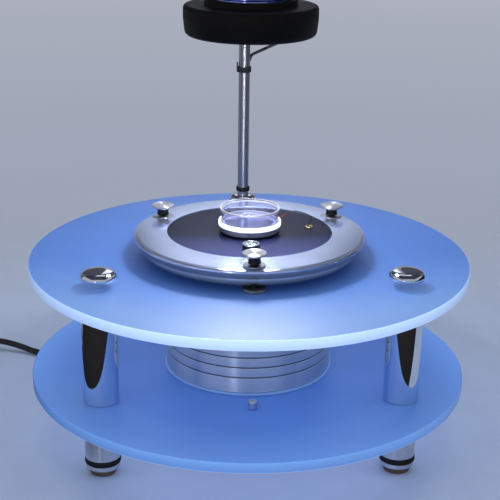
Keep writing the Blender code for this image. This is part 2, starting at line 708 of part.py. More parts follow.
def cover_and_gland():
    top = LOWER_UNDER - SEAT_GAP
    bottom = LOWER_UNDER - COVER_HEIGHT
    floor = bottom + COVER_WALL
    inside = COVER_RADIUS - COVER_WALL
    edge = COVER_WALL * 0.5
    profile = [(0.0, floor), (inside, floor), (inside, top), (COVER_RADIUS, top),
               (COVER_RADIUS, bottom + edge), (COVER_RADIUS - edge, bottom), (0.0, bottom)]
    cover = turned("drum_bottom_cover", profile, (0.0, 0.0, 0.0), DRUM_SEGMENTS, BLACK)
    axis = gland_axis()
    start = gland_start()
    hole = cylinder("gland_hole", GLAND_SLEEVE_RADIUS + SLIP_FIT, -COVER_WALL * 2, COVER_WALL,
                    start, SMALL_SEGMENTS)
    hang(cut(cover, aim(hole, axis)), BASE)
    tip = GLAND_LENGTH
    collar = GLAND_FLANGE_LENGTH
    body = [(0.0, tip), (GLAND_TIP_RADIUS, tip),
            (GLAND_SLEEVE_RADIUS, collar + (tip - collar) * 0.25),
            (GLAND_SLEEVE_RADIUS, collar), (GLAND_FLANGE_RADIUS, collar),
            (GLAND_FLANGE_RADIUS, 0.0), (GLAND_SLEEVE_RADIUS, 0.0),
            (GLAND_SLEEVE_RADIUS, -COVER_WALL), (0.0, -COVER_WALL)]
    gland = turned("cable_gland", body, start, SMALL_SEGMENTS, CORD)
    hang(aim(gland, axis), BASE)


def gland_axis():
    return Vector((*polar(1.0, GLAND_ANGLE), 0.0))


def gland_start():
    """Where the gland's flange meets the cover."""
    reach = COVER_RADIUS + SEAT_GAP
    return gland_axis() * reach + Vector((0.0, 0.0, LOWER_UNDER - GLAND_DROP))


def coil_route():
    """Inward on top, and outward below after a drop of one layer where it reverses."""
    centre = Vector((*COIL_CENTRE, 0.0))
    route = [centre + Vector((COIL_LEAD - SEAT_GAP / 2, COIL_OUTER, COIL_TOP_Z))]
    top = round(COIL_TOP_TURNS * COIL_POINTS_PER_TURN)
    drop = round(COIL_DROP_TURNS * COIL_POINTS_PER_TURN)
    low = round(COIL_LOW_TURNS * COIL_POINTS_PER_TURN)
    for i in range(top + drop + low + 1):
        angle = COIL_START_ANGLE + 360.0 * i / COIL_POINTS_PER_TURN
        from_reversal = abs(i - top - drop / 2) / COIL_POINTS_PER_TURN
        radius = COIL_INNER + COIL_PITCH * from_reversal
        share = min(1.0, max(0.0, (i - top) / drop))
        height = COIL_TOP_Z - COIL_PITCH * (1.0 - math.cos(math.pi * share)) / 2
        x, y = polar(radius, angle)
        route.append(centre + Vector((x, y, height)))
    end = route[-1]
    for share in (0.2, 0.4, 0.6, 0.8, 1.0):
        rise = COIL_TAIL_RISE * (1.0 - math.cos(math.pi * min(1.0, share / 0.8))) / 2
        route.append(end + Vector((0.0, -COIL_TAIL * share, rise)))
    return route


def least_gap(route, radius):
    """The least clear distance between stretches of a route that aren't neighbours."""
    skip = COIL_POINTS_PER_TURN // 2
    least = 1.0
    for i, a in enumerate(route):
        for b in route[i + skip:]:
            least = min(least, (a - b).length - 2 * radius)
    return least


def cord_and_coil():
    axis = gland_axis()
    start = gland_start() + axis * (GLAND_LENGTH + SEAT_GAP)
    knots = [start, start + axis * CORD_RADIUS * 2]
    knots += [Vector((x, y, CORD_REST + rise)) for x, y, rise in CORD_POINTS]
    coil = coil_route()
    meeting = coil[0] + Vector((SEAT_GAP, 0.0, 0.0))
    knots += [meeting + Vector((COIL_LEAD, 0.0, 0.0)), meeting]
    hang(tube("power_cord", smooth_route(knots, CORD_STEP), CORD_RADIUS, 2, CORD), BASE)
    hang(tube("cord_coil", coil, CORD_RADIUS, 1, CORD), BASE)
    gap = least_gap(coil, CORD_RADIUS)
    print("least gap between the coil's turns, mm:", round(gap * 1000, 2))


def coil_tie():
    """A strap round all the coil's turns at one place."""
    slack = SEAT_GAP + TIE_THICKNESS
    reach = COIL_SPREAD + 2 * CORD_RADIUS
    rise = COIL_PITCH + 2 * CORD_RADIUS
    middle = COIL_INNER + COIL_SPREAD / 2
    half_reach = reach / 2 + slack
    half_rise = rise / 2 + SEAT_GAP
    inner = rounded_outline(half_reach, half_rise, TIE_ROUND)
    outer = rounded_outline(half_reach + TIE_THICKNESS, half_rise + TIE_THICKNESS,
                            TIE_ROUND + TIE_THICKNESS)
    height = (COIL_LOW_Z + COIL_TOP_Z) / 2
    radial = Vector((*polar(1.0, TIE_ANGLE), 0.0))
    along = Vector((-radial.y, radial.x, 0.0))
    place = Vector((*COIL_CENTRE, height)) + radial * middle
    tie = band("coil_tie", inner, outer, TIE_WIDTH, RUBBER, place)
    turn = Matrix((radial, along.cross(radial), along)).transposed()
    tie.rotation_mode = "QUATERNION"
    tie.rotation_quaternion = turn.to_quaternion()
    hang(tie, BASE)


def rounded_outline(half_x, half_y, radius):
    """A rectangle with round corners, as a closed list of points."""
    radius = min(radius, half_x, half_y)
    points = []
    for cx, cy, start in ((1, 1, 0), (-1, 1, 90), (-1, -1, 180), (1, -1, 270)):
        for i in range(5):
            dx, dy = polar(radius, start + 90.0 * i / 4)
            points.append((cx * (half_x - radius) + dx, cy * (half_y - radius) + dy))
    return points


def cord_plug():
    """A moulded plug with two round pins, lying beside the coil."""
    end = coil_route()[-1] + Vector((0.0, -SEAT_GAP, 0.0))
    relief_end = end.y - PLUG_RELIEF_LENGTH
    centre = Vector((end.x, relief_end - PLUG_LENGTH / 2, PLUG_Z))
    body = block("cord_plug", (PLUG_WIDTH, PLUG_LENGTH, PLUG_THICKNESS), centre, PARTS)
    body.data.materials.append(PINS)
    bevel = body.modifiers.new("round", "BEVEL")
    bevel.width = PLUG_ROUND
    bevel.segments = 2
    back = Vector((0.0, 1.0, 0.0))
    overlap = PLUG_ROUND
    relief = [(0.0, PLUG_RELIEF_LENGTH), (PLUG_RELIEF_TIP, PLUG_RELIEF_LENGTH),
              (PLUG_RELIEF_RADIUS, 0.0), (PLUG_RELIEF_RADIUS, -overlap), (0.0, -overlap)]
    place = Vector((end.x, relief_end, end.z))
    join(body, aim(turned("plug_relief", relief, place, SMALL_SEGMENTS, None, CUTTERS), back))
    for label, sign in (("a", -1.0), ("b", 1.0)):
        front = centre + Vector((sign * PLUG_PIN_SPACING / 2, -PLUG_LENGTH / 2, 0.0))
        pin = cylinder("plug_pin_" + label, PLUG_PIN_RADIUS, -overlap, PLUG_PIN_LENGTH, front,
                       SMALL_SEGMENTS)
        join(body, aim(pin, -back))
    hang(body, BASE)


def stage():
    z = UPPER_TOP
    well = WELL_RADIUS + SEAT_GAP
    groove = STAGE_WALL_BOTTOM_RADIUS - STAGE_GROOVE_DEPTH
    groove_low = STAGE_WALL_BOTTOM - STAGE_GROOVE_HEIGHT
    bore = BEARING_RADIUS + SLIP_FIT
    bowl = STAGE_BOWL_RADIUS
    under = z + STAGE_UNDERSIDE
    bowl_rise = groove_low - STAGE_UNDERSIDE
    profile = [(well, z + STAGE_INNER_TOP), (STAGE_RIM_RADIUS, z + STAGE_OUTER_TOP)]
    drop = STAGE_OUTER_TOP - STAGE_EDGE_HEIGHT
    reach = STAGE_RADIUS - STAGE_RIM_RADIUS
    for angle in (60.0, 30.0, 0.0):
        dx, dy = polar(1.0, angle)
        profile.append((STAGE_RIM_RADIUS + reach * dx, z + STAGE_EDGE_HEIGHT + drop * dy))
    profile += [(STAGE_WALL_BOTTOM_RADIUS, z + STAGE_WALL_BOTTOM),
                (groove, z + STAGE_WALL_BOTTOM),
                (groove, z + groove_low)]
    for angle in (30.0, 60.0, 90.0):
        dx, dy = polar(1.0, angle)
        profile.append((bowl + (groove - bowl) * dx, z + groove_low - bowl_rise * dy))
    profile += [(bore, under), (bore, STAGE_FLOOR), (well, STAGE_FLOOR)]
    body = turned("stage_platter", profile, (0.0, 0.0, 0.0), STAGE_SEGMENTS, TURNED)
    high = z + STAGE_INNER_TOP * 1.2
    for side, angle in LEVEL_ANGLES.items():
        x, y = polar(LEVEL_CIRCLE, angle)
        hole = cylinder("bush_hole_" + side, LEVEL_BUSH_RADIUS + SLIP_FIT, z, high, (x, y, 0.0),
                        LEVEL_SEGMENTS)
        seat = cylinder("bush_seat_" + side, LEVEL_FLANGE_RADIUS + SLIP_FIT,
                        z + LEVEL_SEAT_HEIGHT, high, (x, y, 0.0), LEVEL_SEGMENTS)
        cut(cut(body, hole), seat)
    hang(body, STAGE)


def well_disc():
    low = WELL_Z - WELL_THICKNESS
    edge = WELL_THICKNESS * 0.2
    hole = BEARING_FLANGE_RADIUS + SLIP_FIT
    profile = [(hole, WELL_Z), (WELL_RADIUS - edge, WELL_Z), (WELL_RADIUS, WELL_Z - edge),
               (WELL_RADIUS, low), (hole, low)]
    body = turned("well_disc", profile, (0.0, 0.0, 0.0), STAGE_SEGMENTS, BLACK)
    x, y = FERRULE_POSITION
    tool = cylinder("ferrule_hole", FERRULE_SLEEVE + SLIP_FIT, low - edge, WELL_Z + edge,
                    (x, y, 0.0), SMALL_SEGMENTS)
    hang(cut(body, tool), STAGE)


def ferrule():
    x, y = FERRULE_POSITION
    low = WELL_Z - WELL_THICKNESS
    base = WELL_Z + SEAT_GAP
    top = WELL_Z + FERRULE_RISE
    edge = (FERRULE_RADIUS - FERRULE_BORE) * 0.3
    profile = [(FERRULE_BORE, top), (FERRULE_RADIUS - edge, top), (FERRULE_RADIUS, top - edge),
               (FERRULE_RADIUS, base), (FERRULE_SLEEVE, base), (FERRULE_SLEEVE, low),
               (FERRULE_BORE, low)]
    hang(turned("wire_ferrule", profile, (x, y, 0.0), SMALL_SEGMENTS, BRASS), STAGE)


def spirit_level():
    x, y = SPIRIT_POSITION
    low = WELL_Z + SEAT_GAP
    top = WELL_Z + SPIRIT_HEIGHT
    recess = SPIRIT_RADIUS - SPIRIT_RIM
    floor = top - SPIRIT_RECESS
    edge = SPIRIT_RIM * 0.35
    case = [(0.0, floor), (recess, floor), (recess, top), (SPIRIT_RADIUS - edge, top),
            (SPIRIT_RADIUS, top - edge), (SPIRIT_RADIUS, low), (0.0, low)]
    hang(turned("spirit_level_case", case, (x, y, 0.0), LEG_SEGMENTS, CHROME), STAGE)
    glass = recess - SEAT_GAP
    base = floor + SEAT_GAP
    shoulder = top - VIAL_CROWN
    vial = [(0.0, top), (glass * 0.6, top - VIAL_CROWN * 0.3), (glass, shoulder),
            (glass, base), (0.0, base)]
    hang(turned("spirit_level_vial", vial, (x, y, 0.0), LEG_SEGMENTS, VIAL), STAGE)


def crank_bearing():
    """A flanged bearing in the stage, with pins that hold the carrier from turning."""
    top = WELL_Z
    flange_low = STAGE_FLOOR + SEAT_GAP
    low = UPPER_TOP + BEARING_LOW
    bore = JOURNAL_RADIUS + RUN_FIT
    profile = [(bore, top), (BEARING_FLANGE_RADIUS, top), (BEARING_FLANGE_RADIUS, flange_low),
               (BEARING_RADIUS, flange_low), (BEARING_RADIUS, low), (bore, low)]
    body = turned("crank_bearing", profile, (0.0, 0.0, 0.0), CORE_SEGMENTS, DARK_METAL)
    for i, angle in enumerate(GUIDE_ANGLES):
        x, y = polar(GUIDE_CIRCLE, angle)
        pin = cylinder("guide_pin_%d" % i, GUIDE_PIN_RADIUS, flange_low + SEAT_GAP,
                       top + GUIDE_PIN_HEIGHT, (x, y, 0.0), SMALL_SEGMENTS)
        join(body, pin)
    hang(body, STAGE)


def crank():
    """Tongue, journal and disc on the motor's axis, and a pin off it for the carrier."""
    disc_top = CARRIER_Z - SEAT_GAP
    disc_low = WELL_Z + SEAT_GAP
    end = UPPER_TOP - TONGUE_DROP
    shoulder = UPPER_TOP + TONGUE_SHOULDER
    profile = [(0.0, disc_top), (CRANK_DISC_RADIUS, disc_top), (CRANK_DISC_RADIUS, disc_low),
               (JOURNAL_RADIUS, disc_low), (JOURNAL_RADIUS, end), (0.0, end)]
    body = turned("eccentric_shaft", profile, (0.0, 0.0, 0.0), CORE_SEGMENTS, MOTOR)
    side = JOURNAL_RADIUS * 2
    for label, sign in (("front", -1.0), ("back", 1.0)):
        middle = sign * (TONGUE_WIDTH / 2 + side / 2)
        height = 2 * (shoulder - end)
        tool = block("tongue_flat_" + label, (side * 2, side, height),
                     (0.0, middle, shoulder - height / 2))
        cut(body, tool)
    pin = cylinder("crank_pin", CRANK_PIN_RADIUS, disc_low + SEAT_GAP, CARRIER_Z + CRANK_PIN_LENGTH,
                   (0.0, ORBIT_RADIUS, 0.0), CORE_SEGMENTS)
    hang(join(body, pin), CRANK)


def dish_carrier():
    bore = CRANK_PIN_RADIUS + RUN_FIT
    bore_end = CARRIER_Z + CRANK_PIN_LENGTH + SEAT_GAP
    edge = CARRIER_EDGE
    profile = [(0.0, CARRIER_TOP), (CARRIER_RADIUS - edge, CARRIER_TOP),
               (CARRIER_RADIUS, CARRIER_TOP - edge), (CARRIER_RADIUS, CARRIER_Z + edge),
               (CARRIER_RADIUS - edge, CARRIER_Z), (bore, CARRIER_Z), (bore, bore_end),
               (0.0, bore_end)]
    centre = (0.0, ORBIT_RADIUS, 0.0)
    body = turned("dish_carrier", profile, centre, DISH_SEGMENTS, DARK_METAL)
    room = GUIDE_PIN_RADIUS + ORBIT_RADIUS + RUN_FIT
    for i, angle in enumerate(GUIDE_ANGLES):
        x, y = polar(GUIDE_CIRCLE, angle)
        hole = cylinder("guide_hole_%d" % i, room, CARRIER_Z - edge, CARRIER_Z + GUIDE_HOLE_DEPTH,
                        (x, y + ORBIT_RADIUS, 0.0), SMALL_SEGMENTS)
        cut(body, hole)
    hang(body, CARRIER)


def light_ring():
    """A ring with a step inside that the dish stands on."""
    low = LIGHT_RING_LOW
    high = low + LIGHT_RING_HEIGHT
    shelf = low + LIGHT_RING_SHELF
    profile = [(LIGHT_RING_INNER, high), (LIGHT_RING_OUTER, high), (LIGHT_RING_OUTER, low),
               (LIGHT_RING_BORE, low), (LIGHT_RING_BORE, shelf), (LIGHT_RING_INNER, shelf)]
    centre = (0.0, ORBIT_RADIUS, 0.0)
    hang(turned("light_ring", profile, centre, DISH_SEGMENTS, LAMP), CARRIER)


def dish():
    low = DISH_LOW
    top = low + DISH_HEIGHT
    rim_low = top - DISH_RIM_HEIGHT
    lip = DISH_RIM_HEIGHT * 0.3
    inside = DISH_RADIUS - DISH_WALL
    floor = low + DISH_WALL
    bottom_edge = DISH_WALL * 0.6
    mouth = DISH_RIM_RADIUS - DISH_WALL * 1.6
    profile = [(0.0, floor), (inside - bottom_edge, floor), (inside, floor + bottom_edge),
               (inside, rim_low), (mouth, top), (DISH_RIM_RADIUS - lip, top),
               (DISH_RIM_RADIUS, top - lip), (DISH_RIM_RADIUS, rim_low + lip),
               (DISH_RADIUS, rim_low), (DISH_RADIUS, low + bottom_edge),
               (DISH_RADIUS - bottom_edge, low), (0.0, low)]
    hang(turned("dish", profile, (0.0, ORBIT_RADIUS, 0.0), DISH_SEGMENTS, CLEAR), CARRIER)


def lamp_wire():
    """A stiff thin lead that arches from the ring into the ferrule's wide bore."""
    centre = Vector((0.0, ORBIT_RADIUS, 0.0))
    away = Vector((*polar(1.0, WIRE_EXIT_ANGLE), 0.0))
    height = LIGHT_RING_LOW + LIGHT_RING_HEIGHT * 0.75
    start = centre + away * (LIGHT_RING_OUTER + SEAT_GAP) + Vector((0.0, 0.0, height))
    clear = start + away * WIRE_EXIT_LENGTH
    end = Vector((*FERRULE_POSITION, WELL_Z - WIRE_END_DEPTH)) + centre
    crown = UPPER_TOP + WIRE_CROWN
    rise = clear.lerp(end, 0.22)
    top = clear.lerp(end, 0.55)
    over = clear.lerp(end, 1.08)
    knots = [start, clear,
             Vector((rise.x, rise.y, clear.z + (crown - clear.z) * 0.65)),
             Vector((top.x, top.y, crown)),
             Vector((over.x, over.y, clear.z + (crown - clear.z) * 0.15)),
             Vector((end.x, end.y, WELL_Z + FERRULE_RISE * 2)),
             end]
    hang(tube("lamp_wire", smooth_route(knots, WIRE_STEP), WIRE_RADIUS, 1, CABLE), CARRIER)


def level_set(side):
    """Bush in the rim, foot on the plate, and the screw between them."""
    x, y = polar(LEVEL_CIRCLE, LEVEL_ANGLES[side])
    place = (x, y, 0.0)
    z = UPPER_TOP
    bore = LEVEL_SHAFT_RADIUS + RUN_FIT
    seat = z + LEVEL_SEAT_HEIGHT + SEAT_GAP
    top = z + BUSH_TOP
    low = z + STAGE_UNDERSIDE + SEAT_GAP
    profile = [(bore, top), (LEVEL_FLANGE_RADIUS, top), (LEVEL_FLANGE_RADIUS, seat),
               (LEVEL_BUSH_RADIUS, seat), (LEVEL_BUSH_RADIUS, low), (bore, low)]
    hang(turned("level_bush_" + side, profile, place, LEVEL_SEGMENTS, BRUSHED), STAGE)
    base = z + SEAT_GAP
    edge = LEVEL_FOOT_EDGE
    floor = z + LEVEL_FOOT_FLOOR
    foot_top = z + LEVEL_FOOT_TOP
    profile = [(0.0, floor), (bore, floor), (bore, foot_top), (LEVEL_FOOT_RADIUS - edge, foot_top),
               (LEVEL_FOOT_RADIUS, foot_top - edge), (LEVEL_FOOT_RADIUS, base), (0.0, base)]
    hang(turned("level_foot_" + side, profile, place, LEVEL_SEGMENTS, BLACK), BASE)
    neck_low = top + STAGE_TRAVEL + SEAT_GAP
    knob = z + LEVEL_KNOB_TOP
    rim = LEVEL_KNOB_EDGE
    lip = LEVEL_KNOB_RADIUS * 0.06
    waist = (neck_low + knob - rim) / 2
    profile = [(0.0, knob - LEVEL_KNOB_DISH), (LEVEL_KNOB_RADIUS * 0.55, knob - LEVEL_KNOB_DISH * 0.8),
               (LEVEL_KNOB_RADIUS * 0.86, knob), (LEVEL_KNOB_RADIUS - lip, knob),
               (LEVEL_KNOB_RADIUS, knob - lip), (LEVEL_KNOB_RADIUS, knob - rim),
               (LEVEL_KNOB_RADIUS * 0.72, knob - rim * 1.5), (LEVEL_WAIST_RADIUS, waist),
               (LEVEL_NECK_RADIUS, neck_low), (LEVEL_SHAFT_RADIUS, neck_low),
               (LEVEL_SHAFT_RADIUS, floor + SEAT_GAP), (0.0, floor + SEAT_GAP)]
    screw = turned("level_screw_" + side, profile, (0.0, 0.0, 0.0), LEVEL_SEGMENTS, TURNED)
    screw.location = place
    hang(screw, pivot("level_axis_" + side, (x, y, z)))


def post():
    low = UPPER_TOP + POST_SEAT + SEAT_GAP
    top = UPPER_TOP + POST_TOP
    edge = POST_RADIUS * 0.15
    profile = [(0.0, top), (POST_RADIUS - edge, top), (POST_RADIUS, top - edge),
               (POST_RADIUS, low), (0.0, low)]
    hang(turned("post", profile, (0.0, POST_Y, 0.0), POST_SEGMENTS, CHROME), BASE)


def cable_behind():
    """Offset of the cable's middle behind the post's axis."""
    return POST_RADIUS + CABLE_RADIUS + CABLE_STANDOFF


def cable_bottom():
    """Height of the cable's lower end, inside the rear cap."""
    return UPPER_TOP + SOCKET_HEIGHT - CABLE_SOCKET_DEPTH


def hull_outline(front, back, distance):
    """The taut outline round a circle at the origin and a smaller one behind it."""
    lean = math.degrees(math.asin((front - back) / distance))
    points = []
    for i in range(BAND_ARC_POINTS + 1):
        angle = 180.0 - lean + (180.0 + 2 * lean) * i / BAND_ARC_POINTS
        points.append(polar(front, angle))
    for i in range(BAND_ARC_POINTS + 1):
        angle = lean + (180.0 - 2 * lean) * i / BAND_ARC_POINTS
        x, y = polar(back, angle)
        points.append((x, y + distance))
    return points


def cable_band(name, span, with_tail):
    low, high = span
    front = POST_RADIUS + SEAT_GAP
    back = CABLE_RADIUS + SEAT_GAP
    distance = cable_behind()
    inner = hull_outline(front, back, distance)
    outer = hull_outline(front + BAND_THICKNESS, back + BAND_THICKNESS, distance)
    body = band(name, inner, outer, high - low, RUBBER,
                (0.0, POST_Y, UPPER_TOP + (low + high) / 2))
    if with_tail:
        width, depth, rise = BAND_TAIL
        middle = -(front + BAND_THICKNESS / 2 + width / 2)
        tail = block(name + "_tail", (width, depth, high - low + rise),
                     (middle, POST_Y, UPPER_TOP + (low + high + rise) / 2))
        join(body, tail)
    hang(body, BASE)


def from_post(place):
    """A point given from the post's axis and the upper plate's top."""
    x, y, height = place
    return Vector((x, POST_Y + y, UPPER_TOP + height))


def head_cable():
    """Up the back of the post, and a free stretch to the underside of the head."""
    behind = cable_behind()
    bottom = cable_bottom() - UPPER_TOP
    leave = from_post(CABLE_LEAVE)
    along = Vector(CABLE_HEADING).normalized()
    knots = [from_post((0.0, behind, bottom)),
             from_post((0.0, behind, bottom + CABLE_RADIUS * 2)),
             from_post((0.0, behind, BAND_HIGH[0])),
             from_post((0.0, behind, BAND_HIGH[1])),
             from_post(CABLE_TURN),
             leave - along * CABLE_RADIUS * 2,
             leave]
    hang(tube("head_cable_run", smooth_route(knots, CABLE_STEP), CABLE_RADIUS, 1, CABLE), BASE)
    x, y = polar(HEAD_CABLE_CIRCLE, HEAD_CABLE_ANGLE)
    end = Vector((HEAD_X + x, y, UPPER_TOP + HEAD_BOTTOM - SEAT_GAP))
    start = leave + along * SEAT_GAP
    down = Vector((0.0, 0.0, -CABLE_RADIUS * 2))
    free = [start, start + along * CABLE_RADIUS * 2]
    free += [from_post(place) for place in CABLE_FREE_POINTS]
    free += [end + down, end]
    hang(tube("head_cable_free", smooth_route(free, CABLE_STEP), CABLE_RADIUS, 1, CABLE), BASE)


def head():
    z = UPPER_TOP
    top = z + HEAD_TOP
    low = z + HEAD_BOTTOM
    collar = top + HEAD_COLLAR_HEIGHT
    seat_radius = BARREL_RADIUS + SLIP_FIT
    seat = collar - HEAD_SEAT_DEPTH
    recess = WINDOW_RADIUS + SLIP_FIT
    profile = [(0.0, seat), (seat_radius, seat), (seat_radius, collar)]
    profile += arc(HEAD_COLLAR_RADIUS - HEAD_COLLAR_ROUND, collar - HEAD_COLLAR_ROUND,
                   HEAD_COLLAR_ROUND, 90.0, 0.0, 2)
    profile.append((HEAD_COLLAR_RADIUS, top))
    profile += arc(HEAD_RADIUS - HEAD_TOP_ROUND, top - HEAD_TOP_ROUND, HEAD_TOP_ROUND,
                   90.0, 0.0, 2)
    profile += arc(HEAD_BOTTOM_RADIUS - HEAD_BOTTOM_ROUND, low + HEAD_BOTTOM_ROUND,
                   HEAD_BOTTOM_ROUND, 0.0, -90.0, 2)
    profile += [(recess, low), (recess, low + WINDOW_RECESS), (0.0, low + WINDOW_RECESS)]
    place = (HEAD_X, 0.0, 0.0)
    hang(turned("head_housing", profile, place, HEAD_SEGMENTS, BLACK), HEAD)
    base = seat + SEAT_GAP
    crown = base + BARREL_HEIGHT
    foot_top = collar + BARREL_FOOT
    body = [(0.0, crown), (BARREL_RADIUS - BARREL_ROUND, crown)]
    body += arc(BARREL_RADIUS - BARREL_ROUND, crown - BARREL_ROUND, BARREL_ROUND, 67.5, 0.0, 3)
    body += [(BARREL_RADIUS, foot_top + BARREL_GROOVE), (BARREL_RADIUS - BARREL_GROOVE, foot_top),
             (BARREL_RADIUS, foot_top - BARREL_GROOVE), (BARREL_RADIUS, base), (0.0, base)]
    hang(turned("head_barrel", body, place, HEAD_SEGMENTS, TURNED), HEAD)
    window_top = low + WINDOW_RECESS - SEAT_GAP
    window_low = window_top - WINDOW_THICKNESS
    window = [(0.0, window_top), (WINDOW_RADIUS, window_top), (WINDOW_RADIUS, window_low),
              (0.0, window_low)]
    hang(turned("head_window", window, place, HEAD_SEGMENTS, LAMP), HEAD)


def bracket():
    """An arm from the head to a clamped eye round the post."""
    low = UPPER_TOP + BRACKET_BOTTOM
    high = low + BRACKET_HEIGHT
    middle = (low + high) / 2
    near = HEAD_BOTTOM_RADIUS * 0.8
    length = POST_Y - near
    body = block("head_bracket", (BRACKET_WIDTH, length, BRACKET_HEIGHT),
                 (0.0, near + length / 2, middle), PARTS)
    body.data.materials.append(BLACK)
    axis = (0.0, POST_Y, 0.0)
    join(body, cylinder("bracket_eye", BRACKET_EYE_RADIUS, low, high, axis, CORE_SEGMENTS))
    back = Vector((0.0, 1.0, 0.0))
    pointed = Vector((0.0, POST_Y, middle))
    boss = cylinder("bracket_boss", BRACKET_BOSS_RADIUS, POST_RADIUS, BRACKET_BOSS_LENGTH, pointed,
                    SMALL_SEGMENTS)
    join(body, aim(boss, back))
    cut(body, cylinder("bracket_bore", POST_RADIUS + SLIP_FIT, low - BRACKET_HEIGHT,
                       high + BRACKET_HEIGHT, axis, POST_SEGMENTS))
    screw_hole = cylinder("clamp_hole", CLAMP_SHAFT_RADIUS + SLIP_FIT, 0.0,
                          BRACKET_BOSS_LENGTH * 1.5, pointed, SMALL_SEGMENTS)
    cut(body, aim(screw_hole, back))
    slope_high = UPPER_TOP + HEAD_TOP - HEAD_TOP_ROUND
    slope_low = UPPER_TOP + HEAD_BOTTOM + HEAD_BOTTOM_ROUND
    wide = HEAD_RADIUS + SEAT_GAP
    narrow = HEAD_BOTTOM_RADIUS + SEAT_GAP
    saddle = [(0.0, slope_high), (wide, slope_high), (narrow, slope_low), (0.0, slope_low)]
    cut(body, turned("head_saddle", saddle, (HEAD_X, 0.0, 0.0), HEAD_SEGMENTS, None, CUTTERS))
    hang(body, HEAD)
    tip = POST_RADIUS + SEAT_GAP
    shoulder = BRACKET_BOSS_LENGTH + SEAT_GAP
    end = shoulder + CLAMP_KNOB_LENGTH
    edge = CLAMP_KNOB_ROUND
    grip = CLAMP_KNOB_RADIUS * 0.90
    knob = [(0.0, end), (CLAMP_KNOB_RADIUS - edge, end), (CLAMP_KNOB_RADIUS, end - edge),
            (CLAMP_KNOB_RADIUS, shoulder + CLAMP_KNOB_LENGTH * 0.6),
            (grip, shoulder + CLAMP_KNOB_LENGTH * 0.5),
            (CLAMP_KNOB_RADIUS, shoulder + CLAMP_KNOB_LENGTH * 0.4),
            (CLAMP_KNOB_RADIUS, shoulder + edge), (CLAMP_KNOB_RADIUS - edge, shoulder),
            (CLAMP_SHAFT_RADIUS, shoulder), (CLAMP_SHAFT_RADIUS, tip), (0.0, tip)]
    screw = turned("clamp_screw", knob, pointed, LEVEL_SEGMENTS, BRUSHED)
    hang(aim(screw, back), pivot("clamp_axis", pointed))


def settle():
    """Turn the modifier stacks into plain smooth-shaded meshes."""
    bpy.context.view_layer.update()
    graph = bpy.context.evaluated_depsgraph_get()
    made = [(o, bpy.data.meshes.new_from_object(o.evaluated_get(graph)))
            for o in PARTS.objects if o.type == "MESH"]
    for obj, mesh in made:
        slots = [m for m in obj.data.materials]
        obj.modifiers.clear()
        obj.data = mesh
        mesh.name = obj.name
        mesh.materials.clear()
        mesh.materials.append(slots[0])
        for polygon in mesh.polygons:
            polygon.material_index = 0
        mesh.shade_smooth()
        mesh.set_sharp_from_angle(angle=SHARP_ANGLE)


plates()
for leg in LEG_POSITIONS:
    leg_column(leg)
    foot(leg)
leg_cap("left")
leg_cap("right")
post_socket()
drum()
for peg in PEG_ANGLES:
    drum_peg(peg)
motor()
cover_and_gland()
cord_and_coil()
coil_tie()
cord_plug()
stage()
well_disc()
ferrule()
spirit_level()
crank_bearing()
crank()
dish_carrier()
light_ring()
dish()
lamp_wire()
for level in LEVEL_ANGLES:
    level_set(level)
post()
cable_band("cable_band_lower", BAND_LOW, False)
cable_band("cable_band_upper", BAND_HIGH, True)
head_cable()
head()
bracket()
settle()
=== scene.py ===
"""Looks for the levelled orbital shaker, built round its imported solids. Metres, +Z up."""

import json
import math

import bmesh
import bpy
from mathutils import Matrix, Vector
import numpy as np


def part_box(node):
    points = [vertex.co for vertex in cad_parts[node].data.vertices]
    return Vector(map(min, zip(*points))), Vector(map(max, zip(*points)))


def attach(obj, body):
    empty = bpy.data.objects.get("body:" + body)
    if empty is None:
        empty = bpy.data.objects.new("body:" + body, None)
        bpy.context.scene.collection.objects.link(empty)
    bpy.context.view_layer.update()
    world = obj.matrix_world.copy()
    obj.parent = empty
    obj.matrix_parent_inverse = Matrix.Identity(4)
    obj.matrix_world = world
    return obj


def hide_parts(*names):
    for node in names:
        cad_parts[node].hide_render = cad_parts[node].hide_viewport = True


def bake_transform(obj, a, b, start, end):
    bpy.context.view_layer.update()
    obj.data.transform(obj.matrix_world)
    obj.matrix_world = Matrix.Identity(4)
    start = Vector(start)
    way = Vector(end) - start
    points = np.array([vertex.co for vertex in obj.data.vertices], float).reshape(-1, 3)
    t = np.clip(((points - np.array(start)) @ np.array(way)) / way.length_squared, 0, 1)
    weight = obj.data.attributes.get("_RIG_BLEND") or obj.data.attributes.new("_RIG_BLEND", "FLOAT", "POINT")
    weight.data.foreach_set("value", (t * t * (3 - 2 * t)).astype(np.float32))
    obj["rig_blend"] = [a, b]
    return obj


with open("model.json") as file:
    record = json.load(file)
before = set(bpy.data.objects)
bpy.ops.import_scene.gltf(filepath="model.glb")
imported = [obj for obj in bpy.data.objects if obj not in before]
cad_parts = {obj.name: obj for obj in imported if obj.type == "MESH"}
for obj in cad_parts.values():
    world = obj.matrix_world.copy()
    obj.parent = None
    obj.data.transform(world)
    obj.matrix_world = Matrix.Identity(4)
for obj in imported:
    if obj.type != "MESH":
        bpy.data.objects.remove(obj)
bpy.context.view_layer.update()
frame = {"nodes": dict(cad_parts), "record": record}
NODES = frame["nodes"]
RECORD = frame["record"]
SLOT_OF = {row["node"]: row["material_slot"] for row in RECORD["subparts"]}
BODY_OF = {n: body for body, names in RECORD["behaviour"]["bodies"].items() for n in names}


def centre(node):
    """Middle of a node's box, seen from above."""
    low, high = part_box(node)
    return (low[0] + high[0]) / 2, (low[1] + high[1]) / 2


def half_width(node):
    low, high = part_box(node)
    return (high[0] - low[0]) / 2


def span(node):
    """Lowest and highest point of a node."""
    low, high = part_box(node)
    return low[2], high[2]


def sizes(node):
    """Lowest and highest point of a node, and half its width."""
    return (*span(node), half_width(node))


def polar(radius, degrees):
    return radius * math.cos(math.radians(degrees)), radius * math.sin(math.radians(degrees))


